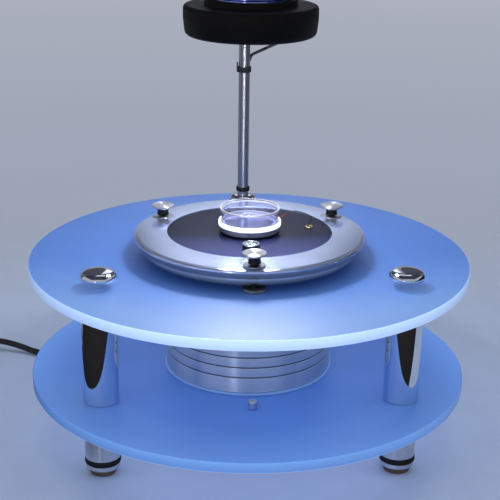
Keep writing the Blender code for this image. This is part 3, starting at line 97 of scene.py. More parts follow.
# places and sizes from the frame
PLATE_RADIUS = half_width("upper_plate")
LOWER_UNDER, LOWER_TOP = span("lower_plate")
UPPER_TOP = span("upper_plate")[1]
LEG_RADIUS = half_width("leg_column_left")
POST_PLACE = centre("post")
POST_RADIUS = half_width("post")
DRUM_RADIUS = half_width("drum_shell")
WELL_Z = span("well_disc")[1]
HEAD_PLACE = centre("head_window")
DISH_PLACE = centre("light_ring")
SIDES = ("left", "right", "rear")
THIRDS = ("front", "right", "left")

# sizes that the solids have too, but that no box shows
SEAT_GAP = 0.0003
SLIP_FIT = 0.0004
SHAFT_HOLE_RADIUS = 0.0125
COVER_HOLE_RADIUS = 0.0300
CAP_NECK, SOCKET_SHARE = 0.0067, 0.83
FOOT_BAND_DEPTH = 0.0026
FOOT_RING_RADIUS = 0.0168
DRUM_WALL, COVER_WALL, BASE_RING_WIDTH = 0.0060, 0.0030, 0.0090
GROOVE_COUNT, GROOVE_FIRST, GROOVE_PITCH = 6, 0.0158, 0.0105
GROOVE_WIDTH, GROOVE_DEPTH = 0.0018, 0.0010
STAGE_RIM_RADIUS = 0.1115
STAGE_OUTER_TOP, STAGE_EDGE_HEIGHT = 0.0247, 0.0222
STAGE_WALL_BOTTOM, STAGE_WALL_BOTTOM_RADIUS = 0.0143, 0.1106
STAGE_GROOVE_DEPTH, STAGE_GROOVE_HEIGHT = 0.0018, 0.0012
STAGE_BOWL_RADIUS = 0.1000
BEARING_HOLE = 0.0134
LEVEL_SEAT_HEIGHT = 0.0247
LEVEL_SHAFT_RADIUS, LEVEL_BUSH_RADIUS = 0.0035, 0.0060
LEVEL_BORE = 0.0040
KNOB_NECK = 0.0068
WELL_HOLE = 0.0214
FERRULE_BORE, FERRULE_SLEEVE = 0.0027, 0.0034
SPIRIT_RIM, SPIRIT_RECESS = 0.0018, 0.0040
LIGHT_RING_INNER, LIGHT_RING_BORE, LIGHT_RING_SHELF = 0.0289, 0.0245, 0.0030
DISH_WALL, DISH_RIM_HEIGHT, DISH_SIDE = 0.0012, 0.0022, 0.0282
GUIDE_CIRCLE, GUIDE_ROOM, GUIDE_DEPTH = 0.0160, 0.0035, 0.0030
GUIDE_ANGLES = (90.0, 210.0, 330.0)
CRANK_PIN_BORE, CRANK_PIN_DEPTH = 0.0045, 0.0029
HEAD_BOTTOM_RADIUS, WINDOW_RECESS = 0.0626, 0.0050
COLLAR_RADIUS, COLLAR_HEIGHT = 0.0442, 0.0062
CABLE_RADIUS = 0.0017
CABLE_BEHIND = POST_RADIUS + CABLE_RADIUS + SEAT_GAP
WIRE_RADIUS = 0.0005
CORD_RADIUS = 0.0035

# fineness and small forms that the solids do not have
LARGE, MEDIUM, SMALL = 192, 96, 64      # steps round a lathe's axis
ARC_STEPS = 12                          # steps along a quarter of a circle
SHARP = 35.0                            # degrees from which an edge stays sharp
CUT_PAST = 0.002                        # how far a cutting tool goes past what it cuts
PLATE_EDGE = 0.0008
CLAMP_FLUTES, CLAMP_FLUTE_DEPTH = 36, 0.0007


# camera, solved from the plates, the legs and the stage

CAMERA_PLACE = (-0.0581, -1.1895, 0.6079)
CAMERA_ANGLES = (18.979, 2.829, 0.8665)      # pitch down, yaw and roll, in degrees
CAMERA_LENS, CAMERA_SENSOR = 90.12, 36.0     # mm


def make_camera():
    data = bpy.data.cameras.new("camera")
    data.sensor_width = CAMERA_SENSOR
    data.lens = CAMERA_LENS
    data.clip_start, data.clip_end = 0.01, 50.0
    camera = link("camera", data)
    pitch, yaw, roll = (math.radians(angle) for angle in CAMERA_ANGLES)
    turn = (Matrix.Rotation(-yaw, 4, "Z") @ Matrix.Rotation(math.pi / 2 - pitch, 4, "X")
            @ Matrix.Rotation(roll, 4, "Z"))
    camera.matrix_world = Matrix.Translation(CAMERA_PLACE) @ turn
    bpy.context.scene.camera = camera


# materials

def feed(node, inputs):
    """Link the sockets that are given for a node's inputs, and set the plain values."""
    for key, value in inputs.items():
        if isinstance(value, bpy.types.NodeSocket):
            node.id_data.links.new(value, node.inputs[key])
        elif isinstance(value, tuple):
            node.inputs[key].default_value = (*value, 1.0)
        else:
            node.inputs[key].default_value = value


def add(tree, kind, inputs=None, **settings):
    node = tree.nodes.new(kind)
    for key, value in settings.items():
        setattr(node, key, value)
    feed(node, inputs or {})
    return node


def blank(name):
    mat = bpy.data.materials.new(name)
    mat.use_nodes = True
    tree = mat.node_tree
    return mat, tree, tree.nodes["Principled BSDF"]


def object_coords(tree):
    return add(tree, "ShaderNodeTexCoord").outputs["Object"]


def axes(tree, vector=None):
    """The parts X, Y and Z of the object's own coordinates, or of another vector."""
    if vector is None:
        vector = object_coords(tree)
    return add(tree, "ShaderNodeSeparateXYZ", {0: vector}).outputs


def noise(vector, scale, detail=3.0):
    return add(vector.id_data, "ShaderNodeTexNoise",
               {"Vector": vector, "Scale": scale, "Detail": detail,
                "Roughness": 0.55}).outputs["Fac"]


def remap(value, low, high, to_low=0.0, to_high=1.0):
    return add(value.id_data, "ShaderNodeMapRange",
               {"Value": value, "From Min": low, "From Max": high, "To Min": to_low,
                "To Max": to_high}).outputs["Result"]


def spread(value, low, high):
    """Map a noise, which stays near its middle, onto a range."""
    return remap(value, 0.3, 0.7, low, high)


def combine(operation, first, second):
    tree = (second if isinstance(first, float) else first).id_data
    return add(tree, "ShaderNodeMath", {0: first, 1: second}, operation=operation).outputs[0]


def product(first, *others):
    for other in others:
        first = combine("MULTIPLY", first, other)
    return first


def rest_of(share):
    return combine("SUBTRACT", 1.0, share)


def tint(value, first, second):
    """A colour that a noise moves between two others."""
    node = add(value.id_data, "ShaderNodeValToRGB", {"Fac": value})
    for stop, position, colour in zip(node.color_ramp.elements, (0.35, 0.65), (first, second)):
        stop.position = position
        stop.color = (*colour, 1.0)
    return node.outputs["Color"]


def lighter(colour, times):
    return tuple(min(1.0, c * times) for c in colour)


def blended(factor, first, second):
    """A mix of two colours, each a socket or a plain colour."""
    return add(factor.id_data, "ShaderNodeMix", {"Factor": factor, "A": first, "B": second},
               data_type="RGBA").outputs["Result"]


def bumped(shader, height, strength, distance):
    bump = add(height.id_data, "ShaderNodeBump",
               {"Height": height, "Strength": strength, "Distance": distance})
    feed(shader, {"Normal": bump.outputs["Normal"]})


def around_axis(tree):
    """For marks left by a lathe: radius and height as a vector, the radius and the three parts."""
    parts = axes(tree)
    flat = add(tree, "ShaderNodeCombineXYZ", {"X": parts["X"], "Y": parts["Y"]}).outputs[0]
    radius = add(tree, "ShaderNodeVectorMath", {0: flat}, operation="LENGTH").outputs["Value"]
    both = add(tree, "ShaderNodeCombineXYZ", {"X": radius, "Y": parts["Z"]}).outputs[0]
    return both, radius, parts


def along(mat, axis, start, end):
    """A share that grows from 0 to 1 between two places on one of the object's axes."""
    return remap(axes(mat.node_tree)[axis], start, end)


def overpaint(mat, share, colour):
    """Lay another colour over a finish, where a share is above 0."""
    shader = mat.node_tree.nodes["Principled BSDF"]
    base = shader.inputs["Base Color"].links[0].from_socket
    feed(shader, {"Base Color": blended(share, base, colour)})
    return mat


def plain(name, first, second, rough, grain, bump, metallic=0.0, specular=0.5):
    """A dielectric or metal with a fine grain, slight colour change and uneven gloss."""
    mat, tree, shader = blank(name)
    coords = object_coords(tree)
    cloud = noise(coords, grain * 0.08)
    feed(shader, {"Base Color": tint(cloud, first, second),
                  "Roughness": spread(cloud, *rough),
                  "Metallic": metallic, "Specular IOR Level": specular})
    bumped(shader, noise(coords, grain, 2.0), bump, 0.0004)
    return mat


def lathe_metal(name, first, second, rough, lines, bump, anisotropic=0.0, metallic=1.0,
                wear=0.04):
    """Metal with the fine rings that a lathe leaves, round the object's own axis."""
    mat, tree, shader = blank(name)
    rings = around_axis(tree)[0]
    coarse = noise(rings, lines * 0.25, 2.0)
    fine = noise(rings, lines)
    smudge = noise(object_coords(tree), 45.0)
    uneven = combine("ADD", spread(fine, *rough), spread(smudge, 0.0, wear))
    feed(shader, {"Base Color": tint(coarse, first, second), "Roughness": uneven,
                  "Metallic": metallic})
    if anisotropic:
        tangent = add(tree, "ShaderNodeTangent", direction_type="RADIAL", axis="Z")
        feed(shader, {"Anisotropic": anisotropic, "Anisotropic Rotation": 0.25,
                      "Tangent": tangent.outputs["Tangent"]})
    bumped(shader, fine, bump, 0.0002)
    return mat


def drum_metal():
    """Satin turned metal with painted shade down in its grooves."""
    mat = lathe_metal("satin_turned_drum", (0.57, 0.64, 0.72), (0.67, 0.74, 0.82), (0.28, 0.36),
                      4200.0, 0.05, anisotropic=0.95, metallic=0.88)
    # painted shade: a darker colour down in the grooves
    groove = remap(around_axis(mat.node_tree)[1], DRUM_RADIUS - GROOVE_DEPTH * 0.3,
                   DRUM_RADIUS - GROOVE_DEPTH * 0.9)
    return overpaint(mat, groove, (0.15, 0.17, 0.23))


def stage_metal():
    """Turned metal that is a cool white on top, with a warm tint on its wall and bowl that dulls the blue
    plate they mirror: a painted reflection.
    """
    mat = lathe_metal("turned_polished_aluminium", (0.55, 0.645, 0.93), (0.61, 0.70, 0.98),
                      (0.17, 0.23), 5200.0, 0.05, anisotropic=0.8, metallic=0.90)
    edge = UPPER_TOP + STAGE_EDGE_HEIGHT
    # painted reflection: a warm tint on the wall and bowl, so that the blue plate they mirror reads grey
    return overpaint(mat, along(mat, "Z", edge - 0.0004, edge - 0.0012), (0.72, 0.68, 0.62))


def bush_steel():
    """Brushed steel with painted shade below the rim it sits in."""
    mat = lathe_metal("brushed_bush_steel", (0.52, 0.56, 0.64), (0.62, 0.66, 0.74), (0.22, 0.34),
                      4200.0, 0.08, anisotropic=0.4)
    seat = UPPER_TOP + LEVEL_SEAT_HEIGHT
    # painted shade: near black below the rim, in the gap under the stage
    return overpaint(mat, along(mat, "Z", seat - 0.0010, seat - 0.0015), (0.020, 0.022, 0.030))


def knob_metal():
    """Faced metal with painted shade under the knob: on its neck and screw."""
    mat = lathe_metal("faced_aluminium", (0.50, 0.53, 0.62), (0.62, 0.65, 0.74), (0.30, 0.38),
                      6000.0, 0.06, anisotropic=0.9, metallic=0.82)
    top = span("level_screw_front")[1]
    neck = remap(around_axis(mat.node_tree)[1], KNOB_NECK + 0.0006, KNOB_NECK)
    # painted shade: near black on the neck and screw under the knob
    under = along(mat, "Z", top - 0.0012, top - 0.0018)
    return overpaint(mat, product(neck, under), (0.025, 0.026, 0.034))


def well_coat():
    """Violet black coat with a painted sheen that makes its front paler."""
    mat = plain("violet_black_coat", (0.0030, 0.0040, 0.016), (0.0036, 0.0047, 0.019),
                (0.29, 0.32), 2600.0, 0.008, specular=0.13)
    # painted sheen: a paler violet towards the front
    return overpaint(mat, along(mat, "Y", -0.010, -0.080), (0.038, 0.047, 0.160))


def level_case():
    """A light band at the top of the rim, over dark sides."""
    mat = plain("dark_level_case", (0.05, 0.05, 0.07), (0.08, 0.08, 0.11), (0.14, 0.22), 900.0,
                0.01, metallic=1.0)
    top = span("spirit_level_case")[1]
    return overpaint(mat, along(mat, "Z", top - 0.0011, top - 0.0007), (0.78, 0.80, 0.86))


def wire_insulation():
    """Black lead whose first stretch, at the ring, is red."""
    mat = plain("lamp_lead_jacket", (0.012, 0.012, 0.014), (0.020, 0.019, 0.021), (0.35, 0.5),
                1800.0, 0.05)
    return overpaint(mat, along(mat, "X", 0.0365, 0.0345), (0.42, 0.05, 0.06))


def acrylic(name, node, face, edge_colour, edge_light, edge_glow, under_light, under_glow,
            face_light, face_glow, shade):
    """Satin blue acrylic with a painted glow at its sawn edge, most of all at the front, as if it
    carried light there.

    A painted glow at its underside stands in for light that comes through the plate. A painted
    blue glow on its face, with a painted sheen to the front, keeps shadows on it blue. Glows and face
    lights are pairs, from the back or middle of the plate to its front. Inside a shade, which goes
    from one share of the plate's radius to another, the face falls to the third number's share of
    its glow: a painted shadow of what stands over the plate.
    """
    mat, tree, shader = blank(name)
    _, radius, parts = around_axis(tree)
    under_z, top_z = span(node)
    coords = object_coords(tree)
    frost = noise(coords, 2600.0, 2.0)
    uneven = tint(noise(coords, 9.0, 2.0), face, lighter(face, 1.08))
    edge = remap(radius, PLATE_RADIUS - 0.0010, PLATE_RADIUS - 0.0003)
    # painted light: the edge glows more towards the front
    front = remap(parts["Y"], 0.0, -PLATE_RADIUS, *edge_glow)
    upward = remap(parts["Z"], under_z, top_z, 0.70, 1.15)
    below = remap(parts["Z"], under_z + 0.0006, under_z + 0.0002)
    # painted sheen: the face glows more outwards and towards the front
    outward = remap(radius, PLATE_RADIUS * 0.30, PLATE_RADIUS * 0.90)
    forward = remap(parts["Y"], 0.0, -PLATE_RADIUS * 0.65, 0.28, 1.0)
    painted_sheen = product(outward, forward)
    # painted shadow: the face glow falls inside the shade
    inner, outer, least = shade
    open_face = remap(radius, PLATE_RADIUS * inner, PLATE_RADIUS * outer, least, 1.0)
    glow = remap(painted_sheen, 0.0, 1.0, *face_glow)
    lit = combine("ADD", product(edge, front, upward), product(below, under_glow))
    lit = combine("ADD", lit, product(open_face, glow, rest_of(edge)))
    outside = blended(edge, blended(painted_sheen, *face_light), edge_light)
    feed(shader, {"Base Color": blended(edge, uneven, edge_colour),
                  "Roughness": spread(frost, 0.46, 0.54),
                  "Emission Strength": lit,
                  "Emission Color": blended(below, outside, under_light),
                  "Coat Weight": 1.0, "Coat Roughness": 0.52})
    bumped(shader, frost, 0.08, 0.0002)
    return mat


def glowing(name, colour, strength, base, lit_from=0.0, metal_below=None):
    """A diffuser that is lit outside a radius and above a metal foot, if it has one."""
    mat, tree, shader = blank(name)
    _, radius, parts = around_axis(tree)
    uneven = noise(object_coords(tree), 160.0, 2.0)
    lit = remap(radius, lit_from - 0.0006, lit_from, 0.04, 1.0)
    power = product(lit, spread(uneven, strength * 0.94, strength))
    if metal_below:
        metal = remap(parts["Z"], metal_below, metal_below - 0.0004)
        feed(shader, {"Metallic": metal})
        power = product(power, rest_of(metal))
    feed(shader, {"Base Color": tint(uneven, base, lighter(base, 1.04)),
                  "Roughness": spread(uneven, 0.35, 0.5),
                  "Emission Color": colour, "Emission Strength": power})
    return mat


def clear(name, colour, rough, ior, transmission):
    mat, tree, shader = blank(name)
    wipe = noise(object_coords(tree), 70.0)
    feed(shader, {"Base Color": tint(wipe, colour, lighter(colour, 1.02)),
                  "Roughness": spread(wipe, rough, rough * 2.0),
                  "IOR": ior, "Transmission Weight": transmission})
    return mat


def dish_plastic():
    """Clear plastic with painted highlights: both edges of its rim glow, as if it carried light up from the
    ring, and a faint painted glow lies over the rest.
    """
    mat = clear("clear_polystyrene", (0.80, 0.82, 0.98), 0.015, 1.50, 1.0)
    tree = mat.node_tree
    height = axes(tree)["Z"]
    top = span("dish")[1]
    off = combine("ABSOLUTE", combine("SUBTRACT", height, top - DISH_RIM_HEIGHT), 0.0)
    # painted highlight: glow along the rim's lower and upper edges, and a faint glow below them
    lower_edge = remap(off, 0.0006, 0.0002, 0.0, 0.30)
    upper_edge = remap(height, top - 0.0008, top - 0.0003, 0.012, 0.42)
    feed(tree.nodes["Principled BSDF"],
         {"Emission Strength": combine("ADD", upper_edge, lower_edge),
          "Emission Color": (0.80, 0.81, 1.0)})
    return mat


MATERIALS = {
    "blue_acrylic": acrylic("satin_blue_acrylic", "upper_plate", face=(0.038, 0.120, 0.350),
                            edge_colour=(0.30, 0.45, 0.80), edge_light=(0.52, 0.70, 1.0),
                            edge_glow=(0.125, 0.83), under_light=(0.55, 0.74, 1.0),
                            under_glow=0.66, face_light=((0.03, 0.16, 1.0), (0.34, 0.56, 1.0)),
                            face_glow=(0.20, 0.37), shade=(0.44, 0.66, 0.25)),
    "chrome": plain("polished_chrome", (0.78, 0.80, 0.84), (0.80, 0.82, 0.86), (0.03, 0.06),
                    900.0, 0.003, metallic=1.0),
    "turned_aluminium": stage_metal(),
    "brushed_steel": lathe_metal("brushed_steel", (0.52, 0.56, 0.64), (0.62, 0.66, 0.74),
                                 (0.22, 0.34), 4200.0, 0.12, anisotropic=0.4),
    "black_rubber": plain("black_rubber", (0.008, 0.008, 0.010), (0.014, 0.014, 0.017),
                          (0.60, 0.78), 1400.0, 0.12, specular=0.15),
    "brown_rubber": plain("brown_rubber_pad", (0.070, 0.048, 0.034), (0.105, 0.074, 0.055),
                          (0.65, 0.85), 1200.0, 0.25),
    # the pale ring at the drum's foot is no lamp: its faint glow is painted light
    "pale_glow_ring": glowing("pale_ring_painted_glow", (0.40, 0.64, 1.0), 0.06, (0.20, 0.34, 0.66)),
    "black_anodised": plain("black_satin_coat", (0.0022, 0.0019, 0.0012), (0.0036, 0.0032, 0.0024),
                            (0.55, 0.65), 1900.0, 0.08, specular=0.19),
    "dark_polished_metal": lathe_metal("dark_polished_metal", (0.36, 0.39, 0.47),
                                       (0.44, 0.47, 0.56), (0.24, 0.30), 5200.0, 0.03,
                                       anisotropic=0.9, metallic=0.6),
    "lit_diffuser": glowing("lit_diffuser", (0.93, 0.95, 1.0), 6.0, (0.90, 0.93, 1.0)),
    "clear_dish": dish_plastic(),
    "brass": lathe_metal("brass", (0.86, 0.66, 0.38), (0.92, 0.74, 0.46), (0.16, 0.26), 5200.0,
                         0.05),
    "black_cable": plain("black_cable_jacket", (0.010, 0.010, 0.012), (0.017, 0.017, 0.020),
                         (0.38, 0.52), 1600.0, 0.08),
    "black_cord": plain("black_cord_jacket", (0.009, 0.009, 0.011), (0.016, 0.016, 0.019),
                        (0.42, 0.56), 1500.0, 0.10),
    "plug_plastic": plain("plug_plastic", (0.010, 0.010, 0.011), (0.018, 0.018, 0.020),
                          (0.40, 0.55), 1700.0, 0.12),
    "motor_steel": lathe_metal("machined_steel", (0.42, 0.43, 0.46), (0.52, 0.53, 0.56),
                               (0.22, 0.34), 4200.0, 0.10),
    "level_vial": clear("level_vial", (0.78, 0.89, 0.98), 0.03, 1.46, 0.75),
}
POST_STEEL = lathe_metal("satin_post_steel", (0.37, 0.37, 0.39), (0.38, 0.38, 0.40),
                         (0.31, 0.33), 900.0, 0.0, anisotropic=0.95, wear=0.002)
FOOT_STEEL = lathe_metal("satin_foot_steel", (0.60, 0.63, 0.70), (0.68, 0.71, 0.78),
                         (0.26, 0.34), 4200.0, 0.03, anisotropic=0.92)
LOWER_ACRYLIC = acrylic("satin_blue_acrylic_below", "lower_plate", face=(0.085, 0.230, 0.660),
                        edge_colour=(0.035, 0.130, 0.640), edge_light=(0.30, 0.62, 1.0),
                        edge_glow=(0.11, 0.42), under_light=(0.80, 0.90, 1.0), under_glow=0.58,
                        face_light=((0.18, 0.44, 1.0), (0.30, 0.55, 1.0)),
                        face_glow=(0.34, 0.10), shade=(0.70, 0.98, 0.0))
RING_DIFFUSER = glowing("ring_diffuser", (0.95, 0.96, 1.0), 1.3, (0.70, 0.72, 0.90),
                        lit_from=LIGHT_RING_INNER + 0.0012,
                        metal_below=span("light_ring")[0] + 0.0020)
WELL_COAT = well_coat()
BARREL_COAT = lathe_metal("violet_polished_barrel", (0.26, 0.29, 0.62), (0.34, 0.37, 0.74),
                          (0.08, 0.14), 5200.0, 0.04, anisotropic=0.3)
DRUM_METAL = drum_metal()
KNOB_METAL = knob_metal()
BUSH_STEEL = bush_steel()
LEVEL_CASE = level_case()
LEVEL_FOOT = lathe_metal("dark_foot_metal", (0.20, 0.22, 0.26), (0.28, 0.30, 0.34),
                         (0.22, 0.30), 4200.0, 0.04, anisotropic=0.6, metallic=0.8)
WIRE_JACKET = wire_insulation()


# shapes

def coat(obj, mat, sharp=SHARP):
    """Shade a piece and give it one material."""
    if obj.type == "MESH":
        obj.data.shade_smooth()
        obj.data.set_sharp_from_angle(angle=math.radians(sharp))
    obj.data.materials.clear()
    obj.data.materials.append(mat)


def finish_piece(obj, node_names, sharp=SHARP, mat=None):
    """Give a piece its node's finish and let it stand for that node."""
    if isinstance(node_names, str):
        node_names = [node_names]
    first = node_names[0]
    coat(obj, mat or MATERIALS[SLOT_OF[first]], sharp)
    if "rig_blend" not in obj:
        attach(obj, BODY_OF[first])
    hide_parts(*node_names)
    return obj


def link(name, data, at=(0.0, 0.0, 0.0)):
    obj = bpy.data.objects.new(name, data)
    obj.location = at
    bpy.context.scene.collection.objects.link(obj)
    return obj


def rounded(points, closed, steps=5):
    """Round a profile's corners: its points are radius, height and, at some, that of a round."""
    out = []
    count = len(points)
    for i, point in enumerate(points):
        here = Vector(point[:2])
        radius = point[2] if len(point) > 2 else 0.0
        if not radius or (not closed and i in (0, count - 1)):
            out.append(here)
            continue
        before = Vector(points[i - 1][:2]) - here
        after = Vector(points[(i + 1) % count][:2]) - here
        half = before.angle(after) / 2
        back = min(radius / math.tan(half), 0.49 * before.length, 0.49 * after.length)
        start = here + before.normalized() * back
        end = here + after.normalized() * back
        for k in range(steps + 1):
            t = k / steps
            out.append(start.lerp(here, t).lerp(here.lerp(end, t), t))
    return out


def spline(a, b, c, d, t):
    """A point between b and c on the smooth curve through four points."""
    return 0.5 * (2 * b + (c - a) * t + (2 * a - 5 * b + 4 * c - d) * t * t
                  + (3 * b - a - 3 * c + d) * t ** 3)


def sampled(knots, steps):
    """Points on the smooth curve from the second knot to the last but one."""
    out = []
    for a, b, c, d in zip(knots, knots[1:], knots[2:], knots[3:]):
        out += [spline(a, b, c, d, i / steps) for i in range(steps)]
    return out + [knots[-2].copy()]


def through(points):
    """A smooth profile through a few points."""
    knots = [Vector(p) for p in points]
    knots = [2 * knots[0] - knots[1]] + knots + [2 * knots[-1] - knots[-2]]
    return [tuple(p) for p in sampled(knots, 6)]


def bar(inner, outer, low, high, top_round=0.0, low_round=0.0):
    """The profile of a ring, or of a rod where the inner radius is 0."""
    return [(inner, high), (outer, high, top_round), (outer, low, low_round), (inner, low)]


def as_mesh(name, bm):
    mesh = bpy.data.meshes.new(name)
    bm.to_mesh(mesh)
    bm.free()
    return mesh


def lathe_mesh(name, profile, segments, flutes=0, flute_depth=0.0):
    """Turn a profile round Z. Flutes cut grip lines into its widest part."""
    closed = profile[0][0] > 0.0
    points = rounded(profile, closed)
    widest = max(r for r, _ in points)
    bm = bmesh.new()
    rings = []
    for r, z in points:
        if r < 1e-7:
            rings.append([bm.verts.new((0.0, 0.0, z))])
            continue
        ring = []
        for i in range(segments):
            angle = 360.0 * i / segments
            wave = math.cos(math.radians(angle * flutes)) - 1.0 if r > widest * 0.98 else 0.0
            ring.append(bm.verts.new((*polar(r + wave * flute_depth / 2, angle), z)))
        rings.append(ring)
    pairs = list(zip(rings, rings[1:]))
    if closed:
        pairs.append((rings[-1], rings[0]))
    for upper, lower in pairs:
        for i in range(segments):
            j = (i + 1) % segments
            if len(upper) == 1:
                bm.faces.new((upper[0], lower[i], lower[j]))
            elif len(lower) == 1:
                bm.faces.new((upper[i], lower[0], upper[j]))
            else:
                bm.faces.new((upper[i], lower[i], lower[j], upper[j]))
    bmesh.ops.recalc_face_normals(bm, faces=bm.faces)
    return as_mesh(name, bm)


def lathe(node, profile, segments=MEDIUM, mat=None, holes=()):
    """A finer turned piece for a node. Holes are profiles of tools with their places."""
    name = node + "_fine"
    obj = link(name, lathe_mesh(name, profile, segments), (*centre(node), 0.0))
    if holes:
        tools = [link("tool", lathe_mesh("tool", shape, SMALL), (*at, 0.0)) for shape, at in holes]
        combined(obj, tools, "DIFFERENCE")
    return finish_piece(obj, node, mat=mat)


def apply_modifiers(obj):
    bpy.context.view_layer.update()
    graph = bpy.context.evaluated_depsgraph_get()
    mesh = bpy.data.meshes.new_from_object(obj.evaluated_get(graph))
    obj.modifiers.clear()
    obj.data = mesh
    mesh.name = obj.name


def combined(obj, others, operation):
    """Weld solids to an object, or cut them out of it, and remove them."""
    for other in others:
        step = obj.modifiers.new("combine", "BOOLEAN")
        step.operation = operation
        step.solver = "EXACT"
        step.object = other
    apply_modifiers(obj)
    for other in others:
        bpy.data.objects.remove(other, do_unlink=True)
    return obj


def curve_mesh(curve):
    """A curve as a mesh with its ends welded shut."""
    draft = link(curve.name + "_draft", curve)
    graph = bpy.context.evaluated_depsgraph_get()
    mesh = bpy.data.meshes.new_from_object(draft.evaluated_get(graph))
    name = curve.name
    bpy.data.objects.remove(draft, do_unlink=True)
    bpy.data.curves.remove(curve)
    bm = bmesh.new()
    bm.from_mesh(mesh)
    bmesh.ops.remove_doubles(bm, verts=bm.verts, dist=1e-6)
    bmesh.ops.recalc_face_normals(bm, faces=bm.faces)
    bm.to_mesh(mesh)
    bm.free()
    mesh.name = name
    return mesh


def new_curve(name, route, radius, resolution):
    curve = bpy.data.curves.new(name, "CURVE")
    curve.dimensions = "3D"
    curve.bevel_depth = radius
    curve.bevel_resolution = resolution
    curve.use_fill_caps = True
    line = curve.splines.new("POLY")
    line.points.add(len(route) - 1)
    for point, place in zip(line.points, route):
        point.co = (*place, 1.0)
    line.use_smooth = True
    return curve


def tube(name, route, radius, resolution=3):
    """A round tube as a mesh, with its ends closed."""
    return link(name, curve_mesh(new_curve(name, route, radius, resolution)))


def smooth_route(points, step):
    """Points a step apart on the smooth curve that the solids follow."""
    knots = [Vector(p) for p in points]
    dense = sampled(knots, 24)
    lengths = [0.0]
    for p, q in zip(dense, dense[1:]):
        lengths.append(lengths[-1] + (q - p).length)
    count = max(2, round(lengths[-1] / step))
    route = [knots[0]]
    index = 0
    for i in range(count + 1):
        target = lengths[-1] * i / count
        while index < len(lengths) - 2 and lengths[index + 1] < target:
            index += 1
        gap = lengths[index + 1] - lengths[index]
        route.append(dense[index].lerp(dense[index + 1], (target - lengths[index]) / gap))
    return route + [knots[-1]]


def thinned(route, turn=9.0, reach=0.030):
    """The points of a fine route that say where it bends."""
    kept = [route[0]]
    last = (route[1] - route[0]).normalized()
    for here, after in zip(route[1:], route[2:]):
        heading = (after - here).normalized()
        if math.degrees(heading.angle(last)) > turn or (here - kept[-1]).length > reach:
            kept.append(here)
            last = heading
    return kept + [route[-1]]


def aim(obj, direction):
    """Turn a body that was drawn along Z to point along a direction."""
    obj.rotation_mode = "QUATERNION"
    obj.rotation_quaternion = Vector((0.0, 0.0, 1.0)).rotation_difference(direction)
    return obj


def softened(node, width, segments=3):
    """A node's own shape with its hard edges rounded."""
    obj = link(node + "_fine", NODES[node].data.copy())
    bm = bmesh.new()
    bm.from_mesh(obj.data)
    bmesh.ops.remove_doubles(bm, verts=bm.verts, dist=1e-6)
    bmesh.ops.dissolve_limit(bm, angle_limit=math.radians(1.0), verts=bm.verts, edges=bm.edges)
    bm.to_mesh(obj.data)
    bm.free()
    bevel = obj.modifiers.new("round", "BEVEL")
    bevel.width = width
    bevel.segments = segments
    bevel.limit_method = "ANGLE"
    bevel.angle_limit = math.radians(40.0)
    apply_modifiers(obj)
    return finish_piece(obj, node)


# the cord, its gland, coil, tie and plug

GLAND_AXIS = Vector((*polar(1.0, 141.0), 0.0))
GLAND_DROP, GLAND_LENGTH = 0.0130, 0.0340
SLEEVE_ROOT = 0.0030           # how far a strain relief goes into what it leaves
GLAND_START = (GLAND_AXIS * (half_width("drum_bottom_cover") + SEAT_GAP)
               + Vector((0.0, 0.0, LOWER_UNDER - GLAND_DROP)))
CORD_REST = CORD_RADIUS + SEAT_GAP
CORD_POINTS = (                # x, y and height over its rest height on the table
    (-0.1000, 0.0810, 0.0400),
    (-0.1180, 0.0955, 0.0240),
    (-0.1370, 0.1110, 0.0090),
    (-0.1570, 0.1270, 0.0015),
    (-0.1780, 0.1440, 0.0000),
    (-0.2080, 0.1680, 0.0000),
    (-0.2360, 0.1872, 0.0003),
    (-0.2500, 0.1945, 0.0015),
    (-0.2630, 0.2000, 0.0044),
    (-0.2830, 0.2058, 0.0078),
    (-0.3000, 0.2083, 0.0087),
)
COIL_CENTRE = Vector((-0.3420, 0.1610, 0.0))
COIL_OUTER, COIL_PITCH, COIL_LIFT = 0.0475, 0.0076, 0.0012
COIL_TOP_TURNS, COIL_DROP_TURNS, COIL_LOW_TURNS = 1.75, 0.5, 2.0
COIL_LOW_Z = CORD_REST + COIL_LIFT
COIL_TOP_Z = COIL_LOW_Z + COIL_PITCH
COIL_INNER = COIL_OUTER - (COIL_TOP_TURNS + COIL_DROP_TURNS / 2) * COIL_PITCH
COIL_LEAD, COIL_TAIL, COIL_TAIL_RISE = 0.0080, 0.0400, 0.0035
COIL_TAIL_SLOPE = 0.8          # the share of the tail that rises
COIL_POINTS_PER_TURN, COIL_TAIL_POINTS = 48, 10
CORD_STEP = 0.0100


def coil_route():
    route = []
    top = round(COIL_TOP_TURNS * COIL_POINTS_PER_TURN)
    drop = round(COIL_DROP_TURNS * COIL_POINTS_PER_TURN)
    low = round(COIL_LOW_TURNS * COIL_POINTS_PER_TURN)
    for i in range(top + drop + low + 1):
        radius = COIL_INNER + COIL_PITCH * abs(i - top - drop / 2) / COIL_POINTS_PER_TURN
        share = min(1.0, max(0.0, (i - top) / drop))
        height = COIL_TOP_Z - COIL_PITCH * (1.0 - math.cos(math.pi * share)) / 2
        x, y = polar(radius, 90.0 + 360.0 * i / COIL_POINTS_PER_TURN)
        route.append(COIL_CENTRE + Vector((x, y, height)))
    end = route[-1]
    for i in range(1, COIL_TAIL_POINTS + 1):
        share = i / COIL_TAIL_POINTS
        rise = COIL_TAIL_RISE * (1.0 - math.cos(math.pi * min(1.0, share / COIL_TAIL_SLOPE))) / 2
        route.append(end + Vector((0.0, -COIL_TAIL * share, rise)))
    return route


